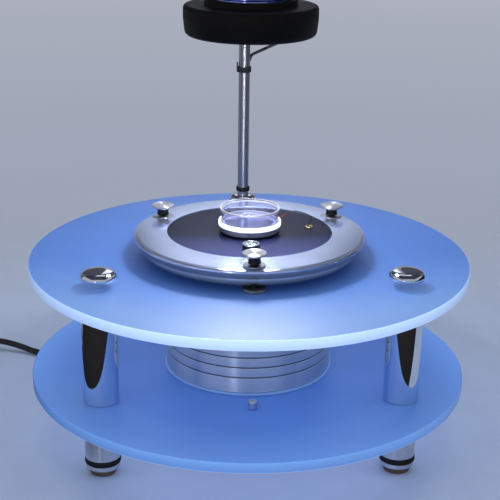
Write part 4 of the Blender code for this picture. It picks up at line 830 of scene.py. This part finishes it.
def cord_route():
    start = GLAND_START + GLAND_AXIS * (GLAND_LENGTH + SEAT_GAP)
    meeting = COIL_CENTRE + Vector((COIL_LEAD, COIL_OUTER, COIL_TOP_Z))
    knots = [start, start + GLAND_AXIS * CORD_RADIUS * 2]
    knots += [Vector((x, y, CORD_REST + rise)) for x, y, rise in CORD_POINTS]
    knots += [meeting + Vector((COIL_LEAD, 0.0, 0.0)), meeting]
    return smooth_route(knots, CORD_STEP) + coil_route()


def ribbed(low, high, low_radius, high_radius, ribs):
    """A profile of rounded ribs on a taper, as on a strain relief, from top to bottom."""
    profile = []
    pitch = (high - low) / ribs
    for i in reversed(range(ribs)):
        base = low + i * pitch
        radius = low_radius + (high_radius - low_radius) * (i + 0.5) / ribs
        profile += [(radius * 0.90, base + pitch * 0.95), (radius, base + pitch * 0.70, 0.0004),
                    (radius, base + pitch * 0.25, 0.0004), (radius * 0.90, base)]
    return profile


def gland():
    flange, flange_length, sleeve, tip = 0.0085, 0.0050, 0.0060, 0.0045
    profile = [(0.0, GLAND_LENGTH), (tip * 0.86, GLAND_LENGTH)]
    profile += ribbed(flange_length, GLAND_LENGTH, sleeve, tip, 8)
    profile += [(flange, flange_length, 0.0010), (flange, 0.0, 0.0003), (sleeve, 0.0),
                (sleeve, -SLEEVE_ROOT), (0.0, -SLEEVE_ROOT)]
    obj = link("cable_gland_fine", lathe_mesh("cable_gland_fine", profile, SMALL), GLAND_START)
    finish_piece(aim(obj, GLAND_AXIS), "cable_gland")


def rounded_block(name, size, place, radius):
    bm = bmesh.new()
    bmesh.ops.create_cube(bm, size=1.0)
    bmesh.ops.scale(bm, vec=size, verts=bm.verts)
    bmesh.ops.bevel(bm, geom=bm.edges[:], offset=radius, segments=5, profile=0.5,
                    affect="EDGES")
    return link(name, as_mesh(name, bm), place)


def plug(end):
    """A moulded plug with grip ridges, a ribbed relief and two bright pins."""
    width, length, thickness, corner = 0.0260, 0.0340, 0.0170, 0.0036
    ridge, ridge_edge = (0.0018, 0.0022, thickness * 0.62), 0.0006
    ridge_count, ridge_pitch = 4, 0.0045
    relief_length, relief_wide, relief_narrow = 0.0220, 0.0066, 0.0046
    relief_root, relief_tip, relief_steps = 0.0060, 0.0040, 48
    pin_radius, pin_length, pin_offset = 0.0020, 0.0190, 0.0095
    pin_root, pin_tip_round, pin_steps = 0.0020, 0.0012, 32
    relief_end = end.y - relief_length
    middle = Vector((end.x, relief_end - length / 2, thickness / 2 + SEAT_GAP))
    body = rounded_block("cord_plug_fine", (width, length, thickness), middle, corner)
    extra = []
    for side in (-1.0, 1.0):
        for i in range(ridge_count):
            forward = (i - (ridge_count - 1) / 2) * ridge_pitch
            place = middle + Vector((side * (width / 2 - ridge_edge), forward, 0.0))
            extra.append(rounded_block("ridge", ridge, place, ridge_edge))
    relief = [(0.0, relief_length), (relief_tip, relief_length)]
    relief += ribbed(0.0, relief_length, relief_wide, relief_narrow, 6)
    relief += [(relief_root, -SLEEVE_ROOT), (0.0, -SLEEVE_ROOT)]
    cone = link("relief", lathe_mesh("relief", relief, relief_steps), (end.x, relief_end, end.z))
    extra.append(aim(cone, Vector((0.0, 1.0, 0.0))))
    pieces = [finish_piece(combined(body, extra, "UNION"), "cord_plug")]
    for name, side in (("plug_pin_left", -1.0), ("plug_pin_right", 1.0)):
        profile = bar(0.0, pin_radius, -pin_root, pin_length, pin_tip_round)
        pin = lathe_mesh("plug_pin", profile, pin_steps)
        place = middle + Vector((side * pin_offset, -length / 2, 0.0))
        obj = aim(link(name, pin, place), Vector((0.0, -1.0, 0.0)))
        coat(obj, MATERIALS["brass"])
        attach(obj, "base")
        pieces.append(obj)
    return pieces


def make_cord():
    gland()
    route = cord_route()
    lead = link("mains_lead", new_curve("mains_lead", route, CORD_RADIUS, 4))
    finish_piece(lead, ["power_cord", "cord_coil"])
    pieces = plug(route[-1] + Vector((0.0, -SEAT_GAP, 0.0)))
    pieces.append(softened("coil_tie", 0.00025, 2))


# the pieces that are turned on a lathe

def cup(inside, outer, floor, low, high, top_round, low_round, lip_round=0.0):
    """The profile of a round cup."""
    return [(0.0, floor), (inside, floor), (inside, high, lip_round), (outer, high, top_round),
            (outer, low, low_round), (0.0, low)]


def flanged(bore, sleeve, flange, low, seat, high, flange_round):
    """The profile of a sleeve with a flange that sits on a seat."""
    return [(bore, high, 0.0003), (flange, high, flange_round), (flange, seat), (sleeve, seat),
            (sleeve, low), (bore, low)]


def plates():
    for node, hole, mat in (("lower_plate", COVER_HOLE_RADIUS, LOWER_ACRYLIC),
                            ("upper_plate", SHAFT_HOLE_RADIUS, None)):
        lathe(node, bar(hole, PLATE_RADIUS, *span(node), PLATE_EDGE, PLATE_EDGE), LARGE, mat)


def dome(radius, height):
    """A mushroom cap on the upper plate, from its crown to its seat."""
    shape = through([(0.0, 0.960), (0.40, 0.952), (0.70, 0.912), (0.89, 0.810), (0.98, 0.675),
                     (1.0, 0.590), (0.978, 0.505), (0.875, 0.400), (0.69, 0.335), (0.50, 0.305)])
    profile = [(max(0.0, r) * radius, UPPER_TOP + h * height) for r, h in shape]
    profile[0] = (0.0, profile[0][1])
    return profile + [(CAP_NECK, UPPER_TOP + 0.28 * height, 0.0008),
                      (CAP_NECK, UPPER_TOP + SEAT_GAP, 0.0006), (0.0, UPPER_TOP + SEAT_GAP)]


def legs():
    for side in SIDES:
        lathe("leg_column_" + side,
              bar(0.0, LEG_RADIUS, *span("leg_column_" + side), 0.0006, 0.0006))
        band_low, band_high, band = sizes("foot_band_" + side)
        _, pad_top, pad = sizes("foot_pad_" + side)
        groove = LEG_RADIUS - FOOT_BAND_DEPTH
        top, ring_low = LOWER_UNDER - SEAT_GAP, pad_top + SEAT_GAP
        lathe("foot_" + side, [(0.0, top), (LEG_RADIUS, top, 0.0005),
                               (LEG_RADIUS, band_high + SEAT_GAP, 0.0006),
                               (groove, band_high + SEAT_GAP), (groove, band_low - SEAT_GAP),
                               (FOOT_RING_RADIUS, band_low - SEAT_GAP, 0.0005),
                               (FOOT_RING_RADIUS, ring_low, 0.0034), (0.0, ring_low)],
              MEDIUM, FOOT_STEEL)
        lathe("foot_band_" + side, bar(groove + SEAT_GAP, band, band_low, band_high, 0.0016, 0.0016))
        lathe("foot_pad_" + side, bar(0.0, pad, 0.0, pad_top, 0.0006, 0.0012))
    for node in ("leg_cap_left", "leg_cap_right"):
        lathe(node, dome(LEG_RADIUS, span(node)[1] - UPPER_TOP))


def post_socket():
    """The rear cap, bored for the post and for the cable behind it."""
    height = SOCKET_SHARE * (span("leg_cap_left")[1] - UPPER_TOP)
    above = UPPER_TOP + height * 1.2
    x, y = POST_PLACE
    holes = [(bar(0.0, radius + SLIP_FIT, span(node)[0] - SEAT_GAP, above), (x, y + behind))
             for node, radius, behind in (("post", POST_RADIUS, 0.0),
                                          ("head_cable_run", CABLE_RADIUS, CABLE_BEHIND))]
    lathe("post_socket", dome(half_width("post_socket"), height), holes=holes)


def drum():
    bottom, top = span("drum_shell")
    floor, inside = DRUM_RADIUS - GROOVE_DEPTH, DRUM_RADIUS - DRUM_WALL
    profile = [(SHAFT_HOLE_RADIUS, top), (DRUM_RADIUS, top, 0.0014)]
    for i in reversed(range(GROOVE_COUNT)):
        middle = bottom + GROOVE_FIRST + i * GROOVE_PITCH
        profile += [(DRUM_RADIUS, middle + GROOVE_WIDTH * 0.5, 0.0003),
                    (floor, middle + GROOVE_WIDTH * 0.25), (floor, middle - GROOVE_WIDTH * 0.25),
                    (DRUM_RADIUS, middle - GROOVE_WIDTH * 0.5, 0.0003)]
    profile += [(DRUM_RADIUS, bottom, 0.0006), (inside, bottom), (inside, top - DRUM_WALL),
                (SHAFT_HOLE_RADIUS, top - DRUM_WALL)]
    lathe("drum_shell", profile, LARGE, DRUM_METAL)
    low, high, outer = sizes("drum_base_ring")
    lathe("drum_base_ring", bar(outer - BASE_RING_WIDTH, outer, low, high, 0.0009, 0.0004), LARGE)
    for side in THIRDS:
        _, high, radius = sizes("drum_peg_" + side)
        lathe("drum_peg_" + side, bar(0.0, radius, LOWER_TOP + SEAT_GAP, high, 0.0011, 0.0003),
              SMALL)
    low, high, outer = sizes("drum_bottom_cover")
    lathe("drum_bottom_cover",
          cup(outer - COVER_WALL, outer, low + COVER_WALL, low, high, 0.0005, 0.0020))


def stage():
    z = UPPER_TOP
    low, inner_top, outer = sizes("stage_platter")
    disc_low, _, disc = sizes("well_disc")
    well, floor = disc + SEAT_GAP, disc_low - SEAT_GAP
    groove = STAGE_WALL_BOTTOM_RADIUS - STAGE_GROOVE_DEPTH
    groove_low = z + STAGE_WALL_BOTTOM - STAGE_GROOVE_HEIGHT
    profile = [(well, inner_top, 0.0007), (STAGE_RIM_RADIUS, z + STAGE_OUTER_TOP, 0.0020),
               (outer - 0.0005, z + STAGE_EDGE_HEIGHT + 0.0017, 0.0022),
               (outer, z + STAGE_EDGE_HEIGHT - 0.0008, 0.0012),
               (STAGE_WALL_BOTTOM_RADIUS, z + STAGE_WALL_BOTTOM, 0.0004),
               (groove, z + STAGE_WALL_BOTTOM), (groove, groove_low)]
    for i in range(1, ARC_STEPS + 1):
        dx, dy = polar(1.0, 90.0 * i / ARC_STEPS)
        profile.append((STAGE_BOWL_RADIUS + (groove - STAGE_BOWL_RADIUS) * dx,
                        groove_low - (groove_low - low) * dy))
    profile += [(BEARING_HOLE, low), (BEARING_HOLE, floor), (well, floor)]
    above, below = inner_top + 3 * CUT_PAST, low - CUT_PAST
    seat = z + LEVEL_SEAT_HEIGHT
    flange, bush = half_width("level_bush_front") + SLIP_FIT, LEVEL_BUSH_RADIUS + SLIP_FIT
    tool = [(0.0, above), (flange, above), (flange, seat), (bush, seat), (bush, below), (0.0, below)]
    holes = [(tool, centre("level_bush_" + side)) for side in THIRDS]
    lathe("stage_platter", profile, LARGE, holes=holes)
    hole = bar(0.0, FERRULE_SLEEVE + SLIP_FIT, disc_low - CUT_PAST, WELL_Z + CUT_PAST)
    lathe("well_disc", bar(WELL_HOLE, disc, disc_low, WELL_Z, 0.0008), LARGE, WELL_COAT,
          [(hole, centre("wire_ferrule"))])


def levelling():
    """The three screws that carry the stage, each with its bush and its foot."""
    neck_gap, neck, neck_foot = 0.00155, 0.0060, 0.0064
    for side in THIRDS:
        foot_floor, top, radius = sizes("level_screw_" + side)
        bush_low, bush_top, flange = sizes("level_bush_" + side)
        neck_low = bush_top + neck_gap
        profile = [(0.0, top - 0.0001), (radius * 0.92, top, 0.0008),
                   (radius, top - 0.0005, 0.0005)]
        profile += through([(radius, top - 0.0018), (radius * 0.86, top - 0.0027),
                            (radius * 0.66, top - 0.0036), (radius * 0.52, top - 0.0051),
                            (radius * 0.485, top - 0.0069), (neck, neck_low + 0.0010)])
        profile += [(neck_foot, neck_low, 0.0003), (LEVEL_SHAFT_RADIUS, neck_low),
                    (LEVEL_SHAFT_RADIUS, foot_floor), (0.0, foot_floor)]
        lathe("level_screw_" + side, profile, MEDIUM, KNOB_METAL)
        seat = UPPER_TOP + LEVEL_SEAT_HEIGHT + SEAT_GAP
        lathe("level_bush_" + side,
              flanged(LEVEL_BORE, LEVEL_BUSH_RADIUS, flange, bush_low, seat, bush_top, 0.0004),
              SMALL, BUSH_STEEL)
        low, high, outer = sizes("level_foot_" + side)
        lathe("level_foot_" + side,
              cup(LEVEL_BORE, outer, foot_floor - SEAT_GAP, low, high, 0.0010, 0.0003),
              SMALL, LEVEL_FOOT)


def spirit_level():
    """A bull's-eye level: a rimmed case under a slightly domed glass."""
    low, top, outer = sizes("spirit_level_case")
    lathe("spirit_level_case",
          cup(outer - SPIRIT_RIM, outer, top - SPIRIT_RECESS, low, top, 0.0006, 0.0004, 0.0003),
          SMALL, LEVEL_CASE)
    base, crown, glass = sizes("spirit_level_vial")
    curve = through([(0.0, crown), (glass * 0.5, crown - 0.0002), (glass, crown - 0.0008)])
    lathe("spirit_level_vial", curve + [(glass, base), (0.0, base)], SMALL)


def ferrule():
    low, top, outer = sizes("wire_ferrule")
    lathe("wire_ferrule",
          flanged(FERRULE_BORE, FERRULE_SLEEVE, outer, low, WELL_Z + SEAT_GAP, top, 0.0006), SMALL)


def dish_and_ring():
    low, top, outer = sizes("dish_carrier")
    pin_end = low + CRANK_PIN_DEPTH
    profile = [(0.0, top), (outer, top, 0.0006), (outer, low, 0.0007), (CRANK_PIN_BORE, low),
               (CRANK_PIN_BORE, pin_end), (0.0, pin_end)]
    room = bar(0.0, GUIDE_ROOM, low - CUT_PAST / 2, low + GUIDE_DEPTH)
    holes = []
    for angle in GUIDE_ANGLES:
        x, y = polar(GUIDE_CIRCLE, angle)
        holes.append((room, (DISH_PLACE[0] + x, DISH_PLACE[1] + y)))
    lathe("dish_carrier", profile, holes=holes)
    low, top, outer = sizes("light_ring")
    shelf = low + LIGHT_RING_SHELF
    lathe("light_ring", [(LIGHT_RING_INNER, top, 0.0004), (outer, top, 0.0009),
                         (outer, low, 0.0004), (LIGHT_RING_BORE, low), (LIGHT_RING_BORE, shelf),
                         (LIGHT_RING_INNER, shelf)], MEDIUM, RING_DIFFUSER)
    low, top, rim = sizes("dish")
    inside, floor = DISH_SIDE - DISH_WALL, low + DISH_WALL
    rim_low = top - DISH_RIM_HEIGHT
    lathe("dish", [(0.0, floor), (inside, floor, 0.0014), (inside, rim_low - 0.0004, 0.0010),
                   (rim - 0.0016, top, 0.0004), (rim, top, 0.0005), (rim, rim_low, 0.0006),
                   (DISH_SIDE, rim_low - 0.0002, 0.0006), (DISH_SIDE, low, 0.0012), (0.0, low)])


def post_and_head():
    lathe("post", bar(0.0, POST_RADIUS, *span("post"), 0.0009), SMALL, POST_STEEL)
    low, collar, outer = sizes("head_housing")
    barrel_low, crown, barrel = sizes("head_barrel")
    window_low, window_top, window = sizes("head_window")
    seat, socket = barrel_low - SEAT_GAP, barrel + SLIP_FIT
    top = collar - COLLAR_HEIGHT
    recess, recess_top = window + SLIP_FIT, low + WINDOW_RECESS
    lathe("head_housing", [(0.0, seat), (socket, seat), (socket, collar, 0.0004),
                           (COLLAR_RADIUS, collar, 0.0016), (COLLAR_RADIUS, top, 0.0010),
                           (outer, top, 0.0040), (outer + 0.0001, top - 0.012, 0.0080),
                           (HEAD_BOTTOM_RADIUS, low, 0.0060), (recess, low, 0.0006),
                           (recess, recess_top), (0.0, recess_top)], LARGE)
    foot = collar + 0.0014
    lathe("head_barrel", [(0.0, crown), (barrel, crown, 0.0085), (barrel, foot + 0.0006, 0.0002),
                          (barrel - 0.0012, foot + 0.0004), (barrel, foot - 0.00055, 0.0002),
                          (barrel, barrel_low), (0.0, barrel_low)], LARGE, BARREL_COAT)
    lathe("head_window", bar(0.0, window, window_low, window_top, 0.0, 0.0005), LARGE)
    softened("head_bracket", 0.0010)
    softened("cable_band_lower", 0.0003, 2)
    softened("cable_band_upper", 0.0003, 2)


def clamp_screw():
    """A fluted thumb screw at the back of the post."""
    low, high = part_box("clamp_screw")
    length, reach = high[1] - low[1], half_width("clamp_screw")
    shaft, shoulder = 0.0025, length - 0.0120
    grip, waist = shoulder + 0.0060, reach * 0.93
    profile = [(0.0, length), (reach * 0.80, length, 0.0006), (reach, length - 0.0012, 0.0006),
               (reach, grip + 0.0010, 0.0003), (waist, grip + 0.0004), (waist, grip - 0.0004),
               (reach, grip - 0.0010, 0.0003), (reach, shoulder + 0.0012, 0.0006),
               (reach * 0.80, shoulder, 0.0005), (shaft, shoulder), (shaft, 0.0), (0.0, 0.0)]
    mesh = lathe_mesh("clamp_screw_fine", profile, 6 * CLAMP_FLUTES, CLAMP_FLUTES,
                      CLAMP_FLUTE_DEPTH)
    place = ((low[0] + high[0]) / 2, low[1], (low[2] + high[2]) / 2)
    obj = aim(link("clamp_screw_fine", mesh, place), Vector((0.0, 1.0, 0.0)))
    finish_piece(obj, "clamp_screw", sharp=50.0)


CABLE_TURN = (0.0056, 0.0074, 0.1645)      # x and y from the post's axis, and height
CABLE_LEAVE = (0.0105, 0.0035, 0.1722)
CABLE_HEADING = (0.76, -0.42, 0.50)
CABLE_FREE_POINTS = ((0.0250, -0.0085, 0.1816), (0.0345, -0.0500, 0.1950))
CABLE_RUN_HEIGHTS = (0.0600, 0.1100, 0.1380, 0.1510, 0.1575)
HEAD_CABLE_CIRCLE, HEAD_CABLE_ANGLE = 0.0555, 50.0
WIRE_ANGLE, WIRE_LEAVE, WIRE_STUB = 20.0, 0.75, 0.0025      # degrees, share of the ring's height, m
WIRE_CROWN, WIRE_END_DEPTH = 0.0422, 0.0010
CABLE_STEP, WIRE_STEP = 0.0025, 0.0007
CABLE_SHARP = 60.0


def from_post(place):
    x, y, height = place
    return Vector((x, POST_PLACE[1] + y, UPPER_TOP + height))


def head_cable():
    """One cable up the back of the post, then free to the head, which moves on the post."""
    bottom = span("head_cable_run")[0] - UPPER_TOP
    leave = from_post(CABLE_LEAVE)
    heading = Vector(CABLE_HEADING).normalized()
    x, y = polar(HEAD_CABLE_CIRCLE, HEAD_CABLE_ANGLE)
    end = Vector((HEAD_PLACE[0] + x, y, span("head_housing")[0] - SEAT_GAP))
    down = Vector((0.0, 0.0, -CABLE_RADIUS * 2))
    knots = [from_post((0.0, CABLE_BEHIND, bottom)),
             from_post((0.0, CABLE_BEHIND, bottom + CABLE_RADIUS * 2))]
    knots += [from_post((0.0, CABLE_BEHIND, height)) for height in CABLE_RUN_HEIGHTS]
    knots += [from_post(CABLE_TURN), leave - heading * CABLE_RADIUS * 2,
              leave + heading * CABLE_RADIUS * 2]
    knots += [from_post(place) for place in CABLE_FREE_POINTS]
    knots += [end + down, end]
    route = smooth_route(knots, CABLE_STEP)
    cable = tube("head_cable", route, CABLE_RADIUS, 4)
    route = thinned(route)
    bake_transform(cable, "base", "head", start=leave, end=end)
    finish_piece(cable, ["head_cable_run", "head_cable_free"], CABLE_SHARP)


def lamp_wire():
    ring_low, ring_top = span("light_ring")
    middle = Vector((*DISH_PLACE, 0.0))
    away = Vector((*polar(1.0, WIRE_ANGLE), 0.0))
    height = ring_low + (ring_top - ring_low) * WIRE_LEAVE
    start = middle + away * (half_width("light_ring") + SEAT_GAP) + Vector((0.0, 0.0, height))
    leave = start + away * WIRE_STUB
    end = Vector((*centre("wire_ferrule"), WELL_Z - WIRE_END_DEPTH)) + middle
    crown = UPPER_TOP + WIRE_CROWN
    rise, top, over = (leave.lerp(end, share) for share in (0.22, 0.55, 1.08))
    ferrule_rise = span("wire_ferrule")[1] - WELL_Z
    knots = [start, leave,
             Vector((rise.x, rise.y, leave.z + (crown - leave.z) * 0.65)),
             Vector((top.x, top.y, crown)),
             Vector((over.x, over.y, leave.z + (crown - leave.z) * 0.15)),
             Vector((end.x, end.y, WELL_Z + ferrule_rise * 2)), end]
    route = smooth_route(knots, WIRE_STEP)
    wire = finish_piece(tube("lamp_lead", route, WIRE_RADIUS, 2), "lamp_wire", CABLE_SHARP,
                        WIRE_JACKET)
    route = thinned(route)


def dress_shown_nodes():
    """Every solid that still shows gets its procedural finish."""
    for name, obj in NODES.items():
        if not obj.hide_render:
            obj.data.materials.clear()
            obj.data.materials.append(MATERIALS[SLOT_OF[name]])


# surroundings

BACKDROP_NEAR, BACKDROP_FAR = (0.335, 0.375, 0.470), (0.420, 0.440, 0.510)
WALL_PAINT = (0.84, 0.85, 0.90)
MATTE = {"Roughness": 0.7, "Specular IOR Level": 0.2}
FLOOR_REACH = 8.0
WALL_START, WALL_BEND, WALL_HEIGHT, WALL_HALF = 1.2, 0.8, 4.0, 5.0
MAT_NEAR, MAT_FAR, MAT_RIGHT, MAT_BACK, MAT_LIFT = 1.09 * PLATE_RADIUS, 3.8, 1.6, 0.15, 0.0008
CARD_Y, CARD_LOW, CARD_HIGH = 1.6, 0.66, 2.0
SIDE_CARD_X, SIDE_CARD_HIGH, SIDE_CARD_Y = 1.45, 0.7, (-1.6, 0.9)
ROOF_HALF, ROOF_Z = 2.6, 2.3

MIDDLE, COOL = (0.0, 0.0, 0.2), (0.96, 0.98, 1.0)
LAMPS = (     # name, place, target, size, watts, colour, whether polished metal mirrors it
    ("overhead", (0.0, -0.15, 1.9), MIDDLE, (1.6, 1.6), 13.0, COOL, False),
    ("ceiling_strip", (0.10, 0.55, 1.7), MIDDLE, (0.9, 0.25), 1.0, COOL, True),
    ("left_soft", (-1.7, -0.7, 1.0), MIDDLE, (1.0, 1.6), 6.0, COOL, False),
    ("right_soft", (1.8, -0.4, 1.1), MIDDLE, (1.0, 1.6), 6.0, COOL, False),
    ("front_fill", (0.0, -1.5, 0.35), (0.0, 0.0, 0.05), (1.6, 0.5), 5.0, COOL, False),
    ("sheen", (0.05, 1.35, 0.97), (0.0, -0.1, 0.2), (0.44, 0.56), 0.70, (0.90, 0.94, 1.0), True),
    ("front_strip", (-0.48, -1.3, 0.24), MIDDLE, (0.10, 0.50), 0.50, (0.93, 0.92, 1.0), True),
    ("front_left", (-1.0, -1.2, 0.22), (0.0, 0.1, 0.3), (1.3, 0.42), 0.55, (0.88, 0.90, 1.0), True),
)
HEAD_LAMP_WATTS, HEAD_LAMP_COLOUR, HEAD_LAMP_GAP = 0.8, (0.97, 0.98, 1.0), 0.0005


def sheet(name, rows, mat):
    """A smooth sheet from rows of points."""
    bm = bmesh.new()
    made = [[bm.verts.new(p) for p in row] for row in rows]
    for first, second in zip(made, made[1:]):
        for i in range(len(first) - 1):
            bm.faces.new((first[i], second[i], second[i + 1], first[i + 1]))
    mesh = as_mesh(name, bm)
    mesh.shade_smooth()
    mesh.materials.append(mat)
    obj = link(name, mesh)
    return obj


def only_seen(plain_shader, pale_shader, share=None):
    """Mix in a shader that the camera, metal and glass see, but that gives no light."""
    tree = plain_shader.id_data
    path = add(tree, "ShaderNodeLightPath").outputs
    seen = combine("MAXIMUM", path["Is Camera Ray"], path["Is Transmission Ray"])
    seen = combine("MAXIMUM", seen, path["Is Glossy Ray"])
    if share is not None:
        seen = product(seen, share)
    return add(tree, "ShaderNodeMixShader", {0: seen, 1: plain_shader, 2: pale_shader}).outputs[0]


def floor_and_backdrop():
    """A pale table that fades into the backdrop, and a wall that only lights the object."""
    mat, tree, shader = blank("pale_floor")
    _, distance, parts = around_axis(tree)
    grain = noise(object_coords(tree), 30.0, 2.0)
    table = tint(grain, (0.46, 0.54, 0.72), (0.48, 0.56, 0.74))
    rise = remap(parts["Y"], 0.35, 1.3)
    feed(shader, {"Base Color": blended(rise, table, WALL_PAINT), **MATTE})
    further = remap(distance, 1.0, 3.4)
    pale = add(tree, "ShaderNodeEmission",
               {"Color": blended(further, BACKDROP_NEAR, BACKDROP_FAR)})
    share = remap(distance, 0.45, 1.12)
    shown = only_seen(shader.outputs[0], pale.outputs[0], share)
    feed(tree.nodes["Material Output"], {"Surface": shown})
    ends = (-FLOOR_REACH, FLOOR_REACH)
    sheet("pale_floor", [[(x, y, 0.0) for y in ends] for x in ends], mat)
    mat, _, shader = blank("pale_wall")
    feed(shader, {"Base Color": WALL_PAINT, **MATTE})
    profile = [(WALL_START, 0.0)]
    for i in range(1, ARC_STEPS + 1):
        up, out = polar(WALL_BEND, 90.0 * i / ARC_STEPS)
        profile.append((WALL_START + out, WALL_BEND - up))
    profile.append((WALL_START + WALL_BEND, WALL_HEIGHT))
    wall = sheet("pale_wall", [[(x, y, z) for y, z in profile] for x in (-WALL_HALF, WALL_HALF)], mat)
    wall.visible_camera = False


def dark_cards():
    """Dark and grey cards round the table and overhead, which only polished metal sees."""
    dark, _, shader = blank("dark_card")
    away = along(dark, "Y", -0.55, -0.90)
    colour = blended(away, (0.010, 0.008, 0.008), (0.22, 0.24, 0.32))
    feed(shader, {"Base Color": colour, "Roughness": 1.0})
    grey, _, shader = blank("grey_card")
    feed(shader, {"Base Color": (0.17, 0.16, 0.20), "Roughness": 1.0})
    reach = (MAT_NEAR, MAT_FAR)
    rows = [[(MAT_RIGHT, -r, MAT_LIFT) for r in reach]]
    for i in range(ARC_STEPS + 1):
        rows.append([(*polar(r, 270.0 - 90.0 * i / ARC_STEPS), MAT_LIFT) for r in reach])
    rows.append([(-r, MAT_BACK, MAT_LIFT) for r in reach])
    cards = [sheet("dark_mat", rows, dark)]
    for name, ends in (("dark_card_left", (-1.4, -0.20)), ("dark_card_right", (0.38, 1.5))):
        cards.append(sheet(name, [[(x, CARD_Y, z) for z in (CARD_LOW, CARD_HIGH)] for x in ends], grey))
    cards.append(sheet("dark_card_side",
                       [[(SIDE_CARD_X, y, z) for z in (0.0, SIDE_CARD_HIGH)] for y in SIDE_CARD_Y],
                       dark))
    cards.append(sheet("grey_card_top", [[(x, y, ROOF_Z) for y in (-ROOF_HALF, CARD_Y)]
                                         for x in (-ROOF_HALF, ROOF_HALF)], grey))
    for obj in cards:
        obj.visible_camera = False
        obj.visible_diffuse = False
        obj.visible_shadow = False
        obj.visible_transmission = False


def area_light(name, place, power, colour, shape):
    data = bpy.data.lights.new(name, "AREA")
    data.energy = power
    data.color = colour
    data.shape = shape
    lamp = link(name, data, place)
    lamp.visible_camera = False
    return lamp


def lights():
    for name, place, target, size, power, colour, seen in LAMPS:
        lamp = area_light(name, place, power, colour, "RECTANGLE")
        lamp.data.size, lamp.data.size_y = size
        lamp.rotation_mode = "QUATERNION"
        lamp.rotation_quaternion = (Vector(target) - Vector(place)).to_track_quat("-Z", "Y")
        lamp.visible_glossy = seen
    window = (*HEAD_PLACE, span("head_housing")[0] - HEAD_LAMP_GAP)
    lamp = area_light("head_lamp", window, HEAD_LAMP_WATTS, HEAD_LAMP_COLOUR, "DISK")
    lamp.data.size = 2 * half_width("head_window")


def surrounding_light():
    """A room that is dark in front and pale behind, and seen as the backdrop."""
    world = bpy.data.worlds.new("studio")
    bpy.context.scene.world = world
    world.use_nodes = True
    tree = world.node_tree
    back = tree.nodes["Background"]
    direction = add(tree, "ShaderNodeTexCoord").outputs["Generated"]
    behind = remap(axes(tree, direction)["Y"], -0.5, 0.6)
    colour = blended(behind, (0.07, 0.07, 0.08), (0.72, 0.77, 0.86))
    feed(back, {"Color": colour, "Strength": 0.55})
    pale = add(tree, "ShaderNodeBackground", {"Color": BACKDROP_FAR})
    shown = only_seen(back.outputs[0], pale.outputs[0])
    feed(tree.nodes["World Output"], {"Surface": shown})


bpy.context.scene.view_settings.view_transform = "Standard"
make_camera()
make_cord()
plates()
legs()
post_socket()
drum()
stage()
levelling()
spirit_level()
ferrule()
dish_and_ring()
post_and_head()
clamp_screw()
head_cable()
lamp_wire()
dress_shown_nodes()
floor_and_backdrop()
dark_cards()
lights()
surrounding_light()
